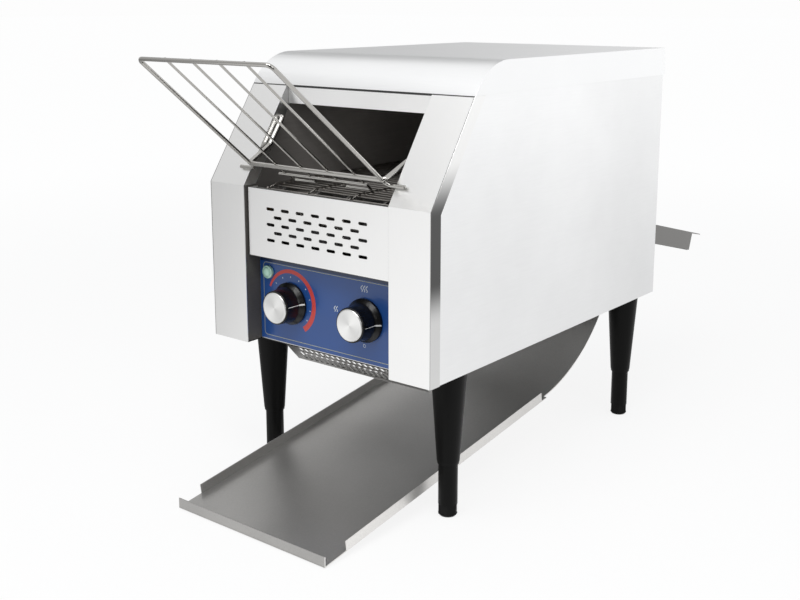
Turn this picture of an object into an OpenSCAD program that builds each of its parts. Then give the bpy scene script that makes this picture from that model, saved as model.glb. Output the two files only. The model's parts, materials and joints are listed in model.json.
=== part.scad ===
// Conveyor toaster: a sheet-steel cabinet on four legs, with a wire belt that
// carries bread between two banks of heaters, a load rack in front, and a
// chute and tray under the cabinet that bring the toast back to the front.
// X runs to the right as seen from the front, Y to the back, Z up.
// The origin is on the counter, under the middle of the part's overall box.

/* [Cabinet] */
// Overall width of the cabinet
body_w = 288; // [280:1:330]
// Overall depth of the cabinet
body_d = 457; // [445:1:480]
// Height of the cabinet from its underside to its top
body_h = 296; // [290:1:320]
// Height of the upright part of the front
chin_h = 166; // [162:1:170]
// Depth of the sloped part of the front
slope_run = 66; // [60:1:72]
// Height of the lid's skirt
lid_skirt = 31.5; // [28:0.5:36]
// Outside radius of the lid's front bend
lid_radius = 65; // [50:1:68]
// Thickness of the sheet steel
sheet = 1; // [0.8:0.1:1.2]
// Width of each cheek beside the front opening
cheek_w = 49.3; // [46:0.1:56]
// Width of the cheek's return on the side of the cabinet
cheek_return = 14.5; // [10:0.5:20]
// Width of the folded flanges inside the cabinet
flange_w = 13; // [9:1:15]

/* [Legs] */
// Height of the cabinet's underside above the counter
leg_h = 152; // [140:1:170]
// Distance from the cabinet's side to the middle of a leg
leg_inset = 24; // [21:1:25]
// Distance from the back of the cabinet to the rear legs
leg_rear_inset = 35; // [31:1:45]
// Distance from the front of the cabinet to the front legs
leg_setback = 62; // [58:1:68]
// Diameter of a leg sleeve at its top
sleeve_top_d = 36; // [30:1:37]
// Diameter of a leg sleeve at its bottom
sleeve_end_d = 23; // [21:1:26]
// Height of the sleeve's lower end above the counter
sleeve_z = 55; // [45:1:60]
// Diameter of the adjustable foot
foot_d = 19.5; // [18:0.5:20]
// Diameter of the foot's stem
foot_stem_d = 12; // [10:0.5:13]
// How far a foot screws in from the height shown
foot_in = 10; // [4:1:14]

/* [Front panels] */
// Height of the control panel above the cabinet's underside
control_h = 93.5; // [90:0.5:95]
// How far the control panel lies behind the cheeks
control_setback = 20; // [16:1:24]
// Gap between the slotted guard panel and each cheek
guard_gap = 2.7; // [1.7:0.1:6.7]
// Height of the slotted guard panel
guard_h = 71; // [66:1:72]
// How far the guard panel lies behind the cheeks
guard_setback = 3.5; // [2:0.5:6]
// Width of the guard panel's folded top lip
guard_lip = 7; // [5:1:8]
// Distance between the slots of a row
slot_pitch = 20.3; // [16:0.1:21]
// Distance between the rows of slots
slot_row_pitch = 8; // [6:0.5:9]
// Length of a slot
slot_len = 11; // [8:0.5:13]
// Width of a slot
slot_w = 3.2; // [2.5:0.1:4]
// Rows of slots
slot_rows = 5; // [3:2:5]
// Height of the strip under the lid
visor_h = 19.5; // [14:0.5:22]
// Gap between the bottom grille and each cheek
grille_gap = 4.7; // [2.7:0.5:14.7]
// How far the grille's face drops below the cabinet
grille_drop = 32.5; // [26:0.5:36]
// How far the grille's face runs back as it drops
grille_run = 30; // [26:1:34]
// Where the grille's face starts behind the cheeks
grille_y = 41; // [36:1:44]
// Distance between the grille's slots
grille_pitch = 7.5; // [7:0.5:10]
// Lean of the grille's slots in degrees
grille_lean = 10; // [0:1:15]

/* [Controls] */
// Distance from the middle of the panel to each knob
knob_x = 50; // [44:1:54]
// Height of the knobs above the cabinet's underside
knob_z = 45.7; // [42:0.1:48]
// Diameter of a knob's skirt
knob_skirt_d = 44; // [38:1:46]
// Diameter of a knob's grip
knob_grip_d = 36; // [32:1:37]
// Diameter of a knob's metal cap
knob_cap_d = 32; // [28:1:33]
// Length of a knob from its back to its face
knob_len = 24; // [20:1:26]
// Diameter of a control's shaft
knob_shaft_d = 6; // [5:0.5:7]
// Diameter of the pilot lamp's lens
lamp_d = 12; // [9:0.5:13]
// Distance from the panel's left edge to the lamp
lamp_inset = 13.4; // [10.4:0.5:15.4]
// Height of the lamp above the cabinet's underside
lamp_z = 74.5; // [72:0.5:78]

/* [Conveyor] */
// Distance between the belt's cross wires
belt_pitch = 10; // [9.5:0.05:10.05]
// Cross wires that one sprocket engages in a turn
belt_teeth = 12; // [12:4:12]
// Least distance from the rear shaft to the back of the cabinet
belt_back = 81; // [76:1:90]
// Diameter of the belt's wire
belt_wire_d = 2.4; // [2:0.1:2.5]
// Gap between the belt and each side of the mouth
belt_gap = 6.7; // [3.7:0.5:10.7]
// Height of the belt's upper run above the cabinet's underside
belt_z = 163; // [162:0.5:164]
// Distance from the cabinet's front to the front shaft
front_shaft_y = 36; // [34:1:38]
// Diameter of the shafts
shaft_d = 10; // [8:0.5:11]
// Outside diameter of a shaft bush
bush_d = 16; // [14:0.5:18]
// Diameter of a heater tube
heater_d = 9; // [8:0.5:11]
// Height of the upper heaters above the cabinet's underside
upper_heater_z = 247; // [240:1:252]
// Height of the lower heaters above the cabinet's underside
lower_heater_z = 148; // [147:0.5:149]
// Distance between two heaters of a bank
heater_pitch = 72; // [60:1:74]

/* [Load rack] */
// Distance from each side of the mouth to the rack's side rods
rack_inset = 8.7; // [6.7:0.5:14.7]
// Length of the rack from its lower bar to its top bar
rack_len = 176; // [160:1:190]
// Slope of the rack in degrees
rack_slope = 38.7; // [34:0.1:42]
// Height of the rack's lower bar above the cabinet's underside
rack_bar_z = 189.4; // [189:0.1:190]
// How far the rack's lower bar lies behind the front of the cabinet
rack_bar_y = 2; // [1:0.5:2]
// Height of the rack's pivot above the cabinet's underside
pivot_z = 232; // [228:1:236]
// Depth of the rack's pivot behind the sloped face
pivot_depth = 9; // [8:0.5:12]
// Diameter of the rack's frame rod
rack_rod_d = 4; // [3.5:0.1:4.5]
// Diameter of the rack's lower bar
rack_bar_d = 5; // [4.5:0.1:5.5]
// Diameter of the rack's inner wires
rack_wire_d = 2.4; // [2:0.1:3]
// Inner wires of the rack
rack_wires = 4; // [3:1:5]

/* [Toast tray] */
// Gap between the tray and each leg
tray_gap = 3; // [2.5:0.5:12]
// How far the tray reaches in front of the cabinet
tray_reach = 97; // [60:1:110]
// Slope of the tray's floor in degrees
tray_slope = 7.9; // [7:0.1:8.3]
// Height of the tray's front lip
tray_lip = 10.5; // [8:0.5:14]
// Height of the tray's side flanges
tray_flange = 11; // [8:0.5:14]
// How far the side flanges start behind the lip
tray_flange_start = 30; // [20:1:40]
// Distance from the start of the chute's curve to the back of the cabinet
chute_back = 174; // [167:1:182]
// Radius of the chute's curve
chute_radius = 205; // [200:1:210]
// How far each side of the chute lies inside the tray's side
chute_inset = 4; // [4:0.5:9]
// Gap between the chute's top edge and the cabinet's underside
chute_top_gap = 4; // [3:0.5:5]
// Distance that the tray slides out
tray_travel = 270; // [200:10:280]

/* [Rear guard] */
// How far the guard reaches behind the cabinet
rear_guard_d = 140; // [100:1:160]
// Height of the guard's side walls
rear_guard_h = 24; // [16:1:28]
// Height of the guard's root above the cabinet's underside
rear_guard_z = 84; // [80:1:100]
// Slope of the guard in degrees
rear_guard_slope = 14; // [8:1:16]
// How far the guard's top reaches past its side walls
rear_guard_lip = 25; // [10:1:30]

/* [Hidden] */
$fn = 64;

// Clearance between fixed pieces that are fitted into each other
fit_gap = 0.3;
// Radial clearance of a turning shaft or peg
run_gap = 0.2;
// Radial clearance of a bolt or stem in its hole
slip_gap = 0.05;
// Overlap used where two shapes of one piece are joined, and past cut faces
over = 1;

// Heights and places derived from the cabinet
rack_poke = 3;
rack_under_d = (rack_rod_d + rack_wire_d) / 2 * 0.85;
rack_reach = (rack_len + rack_poke) * cos(rack_slope) + (rack_under_d + rack_wire_d / 2) * sin(rack_slope)
    - rack_bar_y;
front_y = -(body_d + rear_guard_d - sheet - rack_reach) / 2;
chin_z = leg_h + chin_h;
top_z = leg_h + body_h;
shoulder_z = top_z - lid_skirt;
slope_rise = body_h - chin_h - lid_skirt;
slope_a = atan2(slope_rise, slope_run);
half_w = body_w / 2;
mouth_half = half_w - cheek_w;
fitted_half = mouth_half - fit_gap;
floor_z = leg_h + sheet;
rear_inner_y = body_d - 2 * sheet;
side_inner_x = half_w - 2 * sheet;
lap = 12;
pan_flange_h = 15;
leg_x = half_w - leg_inset;
guard_half = mouth_half - guard_gap;
grille_half = mouth_half - grille_gap;
lamp_x = fitted_half - lamp_inset;
belt_run = floor((body_d - front_shaft_y - belt_back) / belt_pitch);
belt_w = 2 * (mouth_half - belt_gap);
rack_half = mouth_half - rack_inset;
tray_half = leg_x - sleeve_top_d / 2 - tray_gap;
chute_half = tray_half - chute_inset;
chute_y = body_d - chute_back;

// The lid's bend
bend_k = slope_run + lid_skirt / tan(slope_a);
bend_t = lid_radius * tan(slope_a / 2);
bend_c = [bend_k + bend_t, top_z - lid_radius];

// Height and depth of a point on a line parallel to the sloped face, d inside it
function slope_y(z, d) = (d + cos(slope_a) * (z - chin_z)) / sin(slope_a);
function slope_z(y, d) = chin_z + (sin(slope_a) * y - d) / cos(slope_a);
function chin_at(d) = [d, slope_z(d, d)];

// Moves a shape from the cabinet's front plane to the frame of the part
module in_cabinet() translate([0, front_y, 0]) children();

// Extrudes a [depth, height] outline across the cabinet from x0 to x1
module across(outline, x0, x1)
    translate([x0, 0, 0]) rotate([90, 0, 90]) linear_extrude(x1 - x0) polygon(outline);

// The same for a shape drawn by its children
module across_shape(x0, x1)
    translate([x0, 0, 0]) rotate([90, 0, 90]) linear_extrude(x1 - x0) children();

module box(low, high) translate(low) cube(high - low);

// A left piece is its right-hand twin mirrored
module on_side(side) mirror([side < 0 ? 1 : 0, 0, 0]) children();

// A cylinder along X from x0 to x1
module x_rod(x0, x1, y, z, d) translate([x0, y, z]) rotate([0, 90, 0]) cylinder(h = x1 - x0, d = d);

// A cylinder along Y from y0 to y1
module y_rod(x, y0, y1, z, d) translate([x, y0, z]) rotate([-90, 0, 0]) cylinder(h = y1 - y0, d = d);

// A round rod between two points
module rod(from, to, d) {
    way = to - from;
    translate(from) rotate([0, acos(way[2] / norm(way)), atan2(way[1], way[0])])
        cylinder(h = norm(way), d = d, $fn = 24);
}

// A weld that rounds off a corner between two rods
module weld(at, d) translate(at) sphere(d = 1.06 * d, $fn = 24);

// ---------------------------------------------------------------- cabinet

// The band of the front's outline between the depths d0 and d1
function front_band(d0, d1, z0) = [
    [d0, z0], chin_at(d0), [slope_y(shoulder_z, d0), shoulder_z],
    [slope_y(shoulder_z, d1), shoulder_z], chin_at(d1), [d1, z0]
];

// The fold along the sloped part of the mouth's side, which the rack's pegs pass through
function mouth_fold(extra) = [
    chin_at(0), [slope_y(shoulder_z, 0), shoulder_z], [slope_y(shoulder_z, cheek_return + extra), shoulder_z],
    [slope_y(chin_z, cheek_return + extra), chin_z]
];

module peg_hole()
    x_rod(mouth_half - over, mouth_half + 2 * sheet, pivot_y, pivot_at_z, rack_bar_d + 2 * run_gap);

module cheek() {
    across(front_band(0, sheet, leg_h), mouth_half, half_w);
    across(front_band(0, cheek_return, leg_h), half_w - sheet, half_w);
    difference() {
        across(mouth_fold(0), mouth_half, mouth_half + sheet);
        peg_hole();
    }
}

// The panel's front and top edges lie behind the cheek's return and the lid's skirt
module side_panel() {
    edge_d = 4;
    upper_z = shoulder_z + lap;
    across([
        [edge_d, leg_h], chin_at(edge_d), [slope_y(upper_z, edge_d), upper_z],
        [body_d - sheet, upper_z], [body_d - sheet, leg_h]
    ], side_inner_x, half_w - sheet);
}

// The lid's outline d inside its outer skin, down to z0 and back to y1
module lid_outline(d, z0, y1) {
    radius = lid_radius - d;
    corner = [slope_y(top_z - d, d), top_z - d];
    touch = bend_c - radius * [sin(slope_a), -cos(slope_a)];
    difference() {
        polygon([[slope_y(z0, d), z0], corner, [y1, top_z - d], [y1, z0]]);
        difference() {
            polygon([touch, corner, [bend_c[0], top_z - d], bend_c]);
            translate(bend_c) circle(r = radius, $fn = 128);
        }
    }
}

module lid() color([0.82, 0.83, 0.84]) in_cabinet() difference() {
    across_shape(-half_w, half_w) lid_outline(0, shoulder_z, body_d);
    across_shape(-half_w + sheet, half_w - sheet) lid_outline(sheet, shoulder_z - over, body_d - sheet);
}

// The toast falls through the opening at the back of the base pan
drop_half = fitted_half - 2;
drop_y0 = front_shaft_y + belt_run * belt_pitch + 8;
drop_y1 = body_d - 26;
fan_y = 100;
fan_size = 80;
fan_bore = 74;

module base_pan() color([0.62, 0.63, 0.65]) in_cabinet() difference() {
    union() {
        box([-side_inner_x, sheet, leg_h], [side_inner_x, rear_inner_y, floor_z]);
        for (side = [-1, 1]) on_side(side)
            box([side_inner_x - sheet, cheek_return, leg_h],
                [side_inner_x, rear_inner_y - flange_w - 2 * sheet, leg_h + pan_flange_h]);
    }
    box([-mouth_half, -over, leg_h - over], [mouth_half, control_setback, floor_z + over]);
    box([-drop_half, drop_y0, leg_h - over], [drop_half, drop_y1, floor_z + over]);
    translate([0, fan_y, leg_h - over]) cylinder(h = sheet + 2 * over, d = fan_bore);
    at_legs() translate([0, 0, leg_h - over]) cylinder(h = sheet + 2 * over, d = leg_bolt_d + 2 * slip_gap);
}

// The liner closes the toasting chamber and stands behind the cheek's folds
module liner() difference() {
    union() {
        across([
            [sheet, floor_z], chin_at(sheet), [slope_y(shoulder_z, sheet), shoulder_z],
            [bend_c[0], top_z - sheet], [rear_inner_y, top_z - sheet], [rear_inner_y, floor_z]
        ], mouth_half, mouth_half + sheet);
        box([mouth_half, sheet, floor_z], [mouth_half + flange_w, 2 * sheet, chin_z - flange_w]);
    }
    across(mouth_fold(fit_gap), mouth_half - over, mouth_half + 2 * sheet);
    for (y = [front_shaft_y, rear_shaft_y])
        x_rod(mouth_half - over, mouth_half + 2 * sheet, y, shaft_z, bush_d + 2 * slip_gap);
    for (place = concat(upper_heater_places, lower_heater_places))
        x_rod(mouth_half - over, mouth_half + 2 * sheet, place[0], place[1], insulator_d + 2 * slip_gap);
}

vent_rows = 7;
vent_pitch = 9;
vent_z = leg_h + body_h / 2 + 2;
vent_x = (mouth_half + side_inner_x) / 2;
gland_z = leg_h + 28;
gland_d = 16;

module rear_panel() color([0.80, 0.81, 0.82]) in_cabinet() difference() {
    union() {
        box([-side_inner_x, rear_inner_y, leg_h], [side_inner_x, body_d - sheet, top_z - sheet]);
        for (side = [-1, 1]) on_side(side)
            box([side_inner_x - sheet, rear_inner_y - flange_w, floor_z],
                [side_inner_x, rear_inner_y + sheet / 2, shoulder_z]);
    }
    for (side = [-1, 1], row = [0 : vent_rows - 1])
        translate([side * vent_x, 0, vent_z + row * vent_pitch])
            box([-flange_w, rear_inner_y - over, -2], [flange_w, body_d, 2]);
    y_rod(-vent_x, rear_inner_y - over, body_d, gland_z, gland_d);
}

// The strip that closes the mouth under the lid, folded back at both edges
module visor() color([0.80, 0.80, 0.80]) in_cabinet() {
    visor_y = slope_y(shoulder_z, sheet) + fit_gap;
    z0 = shoulder_z - visor_h;
    box([-fitted_half, visor_y, z0], [fitted_half, visor_y + sheet, shoulder_z]);
    box([-fitted_half, visor_y, shoulder_z - sheet], [fitted_half, visor_y + 2 * flange_w, shoulder_z]);
    box([-fitted_half, visor_y, z0], [fitted_half, visor_y + flange_w, z0 + sheet]);
}

// ---------------------------------------------------------------- front panels

guard_z = leg_h + control_h;
guard_top = guard_z + guard_h;

// One slot with round ends, cut along Y
module slot(length, width, depth) {
    box([-(length - width) / 2, -over, -width / 2], [(length - width) / 2, depth, width / 2]);
    for (side = [-1, 1]) y_rod(side * (length - width) / 2, -over, depth, 0, width, $fn = 24);
}

module guard_panel() color([0.90, 0.90, 0.89]) in_cabinet() {
    half = guard_half;
    front = guard_setback;
    difference() {
        box([-half, front, guard_z], [half, front + sheet, guard_top]);
        for (row = [0 : slot_rows - 1]) {
            count = slot_rows + 2 - row % 2;
            for (i = [0 : count - 1])
                translate([(i - (count - 1) / 2) * slot_pitch, front,
                    (guard_z + guard_top) / 2 + (row - (slot_rows - 1) / 2) * slot_row_pitch])
                    slot(slot_len, slot_w, 2 * sheet);
        }
    }
    box([-half, front, guard_top - sheet], [half, front + guard_lip, guard_top]);
    box([-half, front, guard_z], [half, control_setback + sheet, guard_z + sheet]);
    // ears that reach the liners behind the cheeks
    for (side = [-1, 1]) on_side(side) {
        box([half - sheet, front, guard_z], [half, front + flange_w, guard_top]);
        box([half - over, front + 5 * sheet, guard_z], [fitted_half, control_setback + sheet, guard_z + sheet]);
    }
}

module control_holes(depth) {
    for (side = [-1, 1])
        y_rod(side * knob_x, control_setback - 2 * over, control_setback + depth, leg_h + knob_z,
            knob_shaft_d + 2 * fit_gap);
    y_rod(-lamp_x, control_setback - 2 * over, control_setback + depth, leg_h + lamp_z, lamp_d + 2 * slip_gap);
}

module control_panel() color([0.86, 0.86, 0.86]) in_cabinet() difference() {
    box([-fitted_half, control_setback, floor_z], [fitted_half, control_setback + sheet, guard_z]);
    control_holes(2 * sheet);
}

label_t = 0.4;
label_margin = 3.5;

module control_label() color([0.13, 0.24, 0.50]) in_cabinet() difference() {
    box([-fitted_half + 2 * label_t, control_setback - label_t, floor_z + label_margin],
        [fitted_half - 2 * label_t, control_setback, guard_z - label_t]);
    control_holes(2 * sheet);
}

grille_face = norm([grille_drop, grille_run]);
grille_a = atan2(grille_drop, grille_run);
grille_slot_l = 13.5;
grille_slot_w = 5;
grille_row_pitch = 16;
grille_margin = 10;

// A plate that slopes back and down, with two staggered rows of slots and folded edges
module bottom_grille() color([0.66, 0.66, 0.64]) in_cabinet() {
    half = grille_half;
    box([-half, grille_y - flange_w, leg_h - sheet], [half, grille_y + sheet / 2, leg_h]);
    translate([0, grille_y, leg_h - sheet]) rotate([-grille_a, 0, 0]) difference() {
        box([-half, 0, -sheet / 2], [half, grille_face, sheet / 2]);
        for (row = [0, 1]) {
            count = floor(2 * (half - grille_margin) / grille_pitch) - row;
            for (i = [0 : count - 1])
                translate([(i - (count - 1) / 2) * grille_pitch,
                    grille_face - 4 - grille_slot_l / 2 - row * grille_row_pitch, 0])
                    rotate([0, 0, -grille_lean])
                        cube([grille_slot_w, grille_slot_l, 3 * sheet], center = true);
        }
    }
    box([-half, grille_y + grille_run - sheet / 2, leg_h - grille_drop - 1.5 * sheet],
        [half, grille_y + grille_run + flange_w, leg_h - grille_drop - sheet / 2]);
}

module pilot_lamp() color([0.10, 0.60, 0.30]) in_cabinet() translate([-lamp_x, 0, leg_h + lamp_z]) {
    y_rod(0, control_setback - label_t - 3, control_setback - label_t, 0, lamp_d + 1.5);
    y_rod(0, control_setback - label_t - over, control_setback + 18, 0, lamp_d);
    translate([0, control_setback - label_t - 3, 0]) rotate([90, 0, 0])
        rotate_extrude() polygon([[0, 0], [lamp_d / 2 - 0.5, 0], [lamp_d / 2 - 1.5, 1.2], [lamp_d / 4, 2], [0, 2.3]]);
}

// ---------------------------------------------------------------- controls

// The knob turns on the control's shaft, which passes the panel with a gap
knob_gap = 0.6;
knob_back = control_setback - label_t - knob_gap;
knob_front = knob_back - knob_len;

module at_knob(side) in_cabinet() translate([side * knob_x, 0, leg_h + knob_z]) children();

module knob_body() difference() {
    union() {
        translate([0, knob_back, 0]) rotate([90, 0, 0]) rotate_extrude() polygon([
            [0, 0], [knob_skirt_d / 2, 0], [knob_skirt_d / 2, 2.5], [knob_grip_d / 2 + 1, 6],
            [knob_grip_d / 2, 8], [knob_grip_d / 2 - 0.7, knob_len - 1.5],
            [knob_grip_d / 2 - 1.3, knob_len - 0.7], [0, knob_len - 0.7]
        ]);
        rotate([0, knob_rest_a, 0])
            box([knob_grip_d / 2 - 1.6, knob_front + 2, -0.5], [knob_grip_d / 2 + 0.3, knob_back - 4, 0.5]);
    }
    y_rod(0, knob_front - over, knob_front + 2, 0, knob_cap_d + 2 * slip_gap);
    y_rod(0, knob_front, knob_back + over, 0, knob_shaft_d + 2 * slip_gap);
}
// The angle below level at which the pointer rests
knob_rest_a = 0;

// A spun metal disc, dished a little at its rim
module knob_cap() translate([0, knob_front + 2, 0]) rotate([90, 0, 0]) rotate_extrude() polygon([
    [0, 0], [knob_cap_d / 2, 0], [knob_cap_d / 2, 1.6], [knob_cap_d / 2 - 0.8, 2.2],
    [knob_cap_d / 2 - 3, 2.2], [knob_cap_d / 2 - 4, 1.9], [0, 1.9]
]);

control_depth = 30;

module control_shaft() difference() {
    y_rod(0, knob_front + 2, control_setback + sheet + control_depth / 2, 0, knob_shaft_d);
    box([-knob_shaft_d, knob_front, knob_shaft_d / 4], [knob_shaft_d, knob_front + knob_len / 2, knob_shaft_d]);
}

// A rotary control: a body behind the panel and a bore for the shaft
module rotary_control(width, height) difference() {
    union() {
        box([-width / 2, control_setback + sheet, -height / 2],
            [width / 2, control_setback + sheet + control_depth, height / 2]);
        for (side = [-1, 1]) translate([side * width / 4, 0, 0])
            box([-3, control_setback + sheet + control_depth - over, -0.4],
                [3, control_setback + sheet + control_depth + 8, 0.4]);
    }
    y_rod(0, control_setback, control_setback + sheet + control_depth / 2 + fit_gap, 0,
        knob_shaft_d + 2 * run_gap);
}

module speed_control() color([0.10, 0.10, 0.11]) at_knob(-1) rotary_control(30, 30);
module heat_selector() color([0.85, 0.83, 0.76]) at_knob(1) rotary_control(36, 34);
module speed_knob() color([0.05, 0.05, 0.05]) at_knob(-1) knob_body();
module speed_knob_cap() color([0.80, 0.80, 0.80]) at_knob(-1) knob_cap();
module speed_shaft() color([0.70, 0.70, 0.70]) at_knob(-1) control_shaft();
module selector_knob() color([0.05, 0.05, 0.05]) at_knob(1) knob_body();
module selector_knob_cap() color([0.80, 0.80, 0.80]) at_knob(1) knob_cap();
module selector_shaft() color([0.70, 0.70, 0.70]) at_knob(1) control_shaft();

// ---------------------------------------------------------------- conveyor

belt_r = belt_pitch / 2 / sin(180 / belt_teeth);
shaft_z = leg_h + belt_z - belt_r;
rear_shaft_y = front_shaft_y + belt_run * belt_pitch;
belt_strands = 2 * belt_run + belt_teeth;
hook_w = 2;
hook_x = [for (i = [-1.5 : 1 : 1.5]) i * (belt_w - 4 * hook_w) / 3];
sprocket_x = [-1, -0.3, 0.3, 1] * (belt_w - 4 * hook_w) / 2 * 0.8;
sprocket_w = 3;
insulator_d = heater_d + 5;

upper_heater_places = [for (i = [-1 : 1]) [front_shaft_y + 160 + i * heater_pitch, leg_h + upper_heater_z]];
lower_heater_places = [for (i = [-1, 1]) [front_shaft_y + 160 + i * heater_pitch, leg_h + lower_heater_z]];

// Where strand i of the belt lies: along the top, round the back, along the
// bottom and round the front
function strand_at(i) =
    i < belt_run ? [front_shaft_y + i * belt_pitch, shaft_z + belt_r] :
    i < belt_run + belt_teeth / 2 ?
        [rear_shaft_y, shaft_z] + belt_r * [sin((i - belt_run) * 360 / belt_teeth),
            cos((i - belt_run) * 360 / belt_teeth)] :
    i < 2 * belt_run + belt_teeth / 2 ?
        [rear_shaft_y - (i - belt_run - belt_teeth / 2) * belt_pitch, shaft_z - belt_r] :
        [front_shaft_y, shaft_z] - belt_r * [sin((i - 2 * belt_run - belt_teeth / 2) * 360 / belt_teeth),
            cos((i - 2 * belt_run - belt_teeth / 2) * 360 / belt_teeth)];

// The side view of a hook: a bar from its own wire that wraps the next wire
hook_inner = belt_wire_d / 2 + 0.25;
hook_outer = hook_inner + 1;
hook_outline = concat(
    [[-belt_wire_d / 4, 0], [-belt_wire_d / 4, hook_outer]],
    [for (a = [90 : -45 : -90]) [belt_pitch + hook_outer * cos(a), hook_outer * sin(a)]],
    [for (a = [-90 : 45 : 90]) [belt_pitch + hook_inner * cos(a), hook_inner * sin(a)]],
    [[belt_wire_d / 4, hook_inner], [belt_wire_d / 4, 0]]
);

// One strand of the belt: a cross wire with hooks round its neighbour. The hooks of
// every second strand stand beside those of the others.
module strand(i) {
    here = strand_at(i);
    way = strand_at((i + 1) % belt_strands) - here;
    beside = (i % 2 - 0.5) * 1.2 * hook_w;
    translate([0, here[0], here[1]]) rotate([atan2(way[1], way[0]), 0, 0]) {
        translate([-belt_w / 2, 0, 0]) rotate([0, 90, 0]) cylinder(h = belt_w, d = belt_wire_d, $fn = 6);
        for (x = hook_x) across(hook_outline, x + beside - hook_w / 2, x + beside + hook_w / 2);
    }
}

module wire_belt() color([0.55, 0.54, 0.52]) in_cabinet()
    for (i = [0 : belt_strands - 1]) strand(i);

// A belt sprocket: notches at the belt's radius hold the cross wires
module belt_sprocket(x) difference() {
    x_rod(x - sprocket_w / 2, x + sprocket_w / 2, 0, 0, 2 * belt_r + 1);
    for (i = [0 : belt_teeth - 1]) rotate([i * 360 / belt_teeth, 0, 0])
        x_rod(x - sprocket_w, x + sprocket_w, 0, belt_r, belt_wire_d + 2 * fit_gap, $fn = 24);
    x_rod(x - sprocket_w, x + sprocket_w, 0, 0, shaft_d + 2 * slip_gap);
}

module sprocket_set(y) color([0.50, 0.50, 0.50]) in_cabinet() translate([0, y, shaft_z])
    for (x = sprocket_x) belt_sprocket(x);

module drive_sprockets() sprocket_set(front_shaft_y);
module idler_sprockets() sprocket_set(rear_shaft_y);

bush_out = mouth_half + sheet + 6;
chain_x = mouth_half + 31;

module drive_shaft() color([0.60, 0.60, 0.60]) in_cabinet()
    x_rod(-bush_out - 2, chain_x + 5, front_shaft_y, shaft_z, shaft_d);

module idler_shaft() color([0.60, 0.60, 0.60]) in_cabinet()
    x_rod(-bush_out - 2, bush_out + 2, rear_shaft_y, shaft_z, shaft_d);

// A flanged bush seated in a liner's hole from outside
module bush() difference() {
    union() {
        x_rod(mouth_half - 2 * sheet, bush_out, 0, 0, bush_d);
        x_rod(mouth_half + sheet, mouth_half + 3 * sheet, 0, 0, bush_d + 6);
    }
    x_rod(mouth_half - 3 * sheet, bush_out + over, 0, 0, shaft_d + run_gap);
}

module shaft_bushes() color([0.72, 0.55, 0.30]) in_cabinet()
    for (y = [front_shaft_y, rear_shaft_y], side = [-1, 1])
        on_side(side) translate([0, y, shaft_z]) bush();

// The chain drive in the right side compartment
chain_pitch = 6.35;
wheel_teeth = 18;
pinion_teeth = 9;
chain_links = 48;
chain_w = 3;
chain_t = 5;
wheel_r = chain_pitch / 2 / sin(180 / wheel_teeth);
pinion_r = chain_pitch / 2 / sin(180 / pinion_teeth);
tooth_h = 2;
free_links = chain_links - (wheel_teeth + pinion_teeth) / 2;
chain_c = chain_pitch / 4 * (free_links
    + sqrt(pow(free_links, 2) - 8 * pow((wheel_teeth - pinion_teeth) / 2 / PI, 2)));
chain_fall = 47;
motor_y = front_shaft_y + chain_c * cos(chain_fall);
motor_z = shaft_z - chain_c * sin(chain_fall);

// A toothed wheel for the chain: its teeth stand between the root circle and the tips
module chain_sprocket(teeth, radius, x0, x1, bore) {
    root = radius - 1.6;
    difference() {
        union() {
            x_rod(x0, x1, 0, 0, 2 * root);
            for (i = [0 : teeth - 1]) rotate([i * 360 / teeth, 0, 0])
                across([[-1.6, root - 0.6], [-0.7, radius + tooth_h - 0.5], [0.7, radius + tooth_h - 0.5],
                    [1.6, root - 0.6]], x0, x1);
        }
        x_rod(x0 - over, x1 + over, 0, 0, bore);
    }
}

module chain_wheel() color([0.45, 0.45, 0.45]) in_cabinet() translate([0, front_shaft_y, shaft_z]) {
    chain_sprocket(wheel_teeth, wheel_r, chain_x - chain_w / 2, chain_x + chain_w / 2, shaft_d + 2 * slip_gap);
    difference() {
        x_rod(chain_x - chain_w / 2 - 6, chain_x - chain_w / 2, 0, 0, shaft_d + 10);
        x_rod(chain_x - chain_w / 2 - 7, chain_x, 0, 0, shaft_d + 2 * slip_gap);
    }
}

motor_shaft_d = 7;

// The pinion and the gearbox's output shaft, in one turned piece
module motor_pinion() color([0.45, 0.45, 0.45]) in_cabinet() translate([0, motor_y, motor_z]) {
    chain_sprocket(pinion_teeth, pinion_r, chain_x - chain_w / 2, chain_x + chain_w / 2, 1);
    x_rod(motor_x1 - 8, chain_x + chain_w / 2, 0, 0, motor_shaft_d);
}

// The path that a tight chain takes round both wheels, at a distance past their tips
function chain_path(past) =
    let (big = wheel_r + tooth_h + past, small = pinion_r + tooth_h + past,
        side = 90 - asin((big - small) / chain_c), end = chain_c * [cos(chain_fall), -sin(chain_fall)])
    concat(
        [for (k = [0 : 32]) let (a = side - chain_fall + k * (360 - 2 * side) / 32) big * [cos(a), sin(a)]],
        [for (k = [0 : 20]) let (a = -side - chain_fall + k * 2 * side / 20) end + small * [cos(a), sin(a)]]
    );

module drive_chain() color([0.35, 0.34, 0.33]) in_cabinet() translate([0, front_shaft_y, shaft_z])
    difference() {
        across(chain_path(2.6), chain_x - chain_t / 2, chain_x + chain_t / 2);
        across(chain_path(fit_gap), chain_x - chain_t, chain_x + chain_t);
    }

motor_x0 = mouth_half + sheet + 2;
motor_x1 = chain_x - 7;
motor_d = 60;

module gear_motor() color([0.70, 0.70, 0.72]) in_cabinet() difference() {
    union() {
        x_rod(motor_x0, motor_x1 - 4, motor_y, motor_z, motor_d);
        x_rod(motor_x1 - 5, motor_x1, motor_y, motor_z, motor_shaft_d + 12);
        translate([0, motor_y + motor_d / 2 - 4, motor_z]) box([motor_x0, 0, -12], [motor_x1 - 6, 12, 12]);
    }
    x_rod(motor_x1 - 8 - fit_gap, motor_x1 + over, motor_y, motor_z, motor_shaft_d + 2 * run_gap);
}

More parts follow.
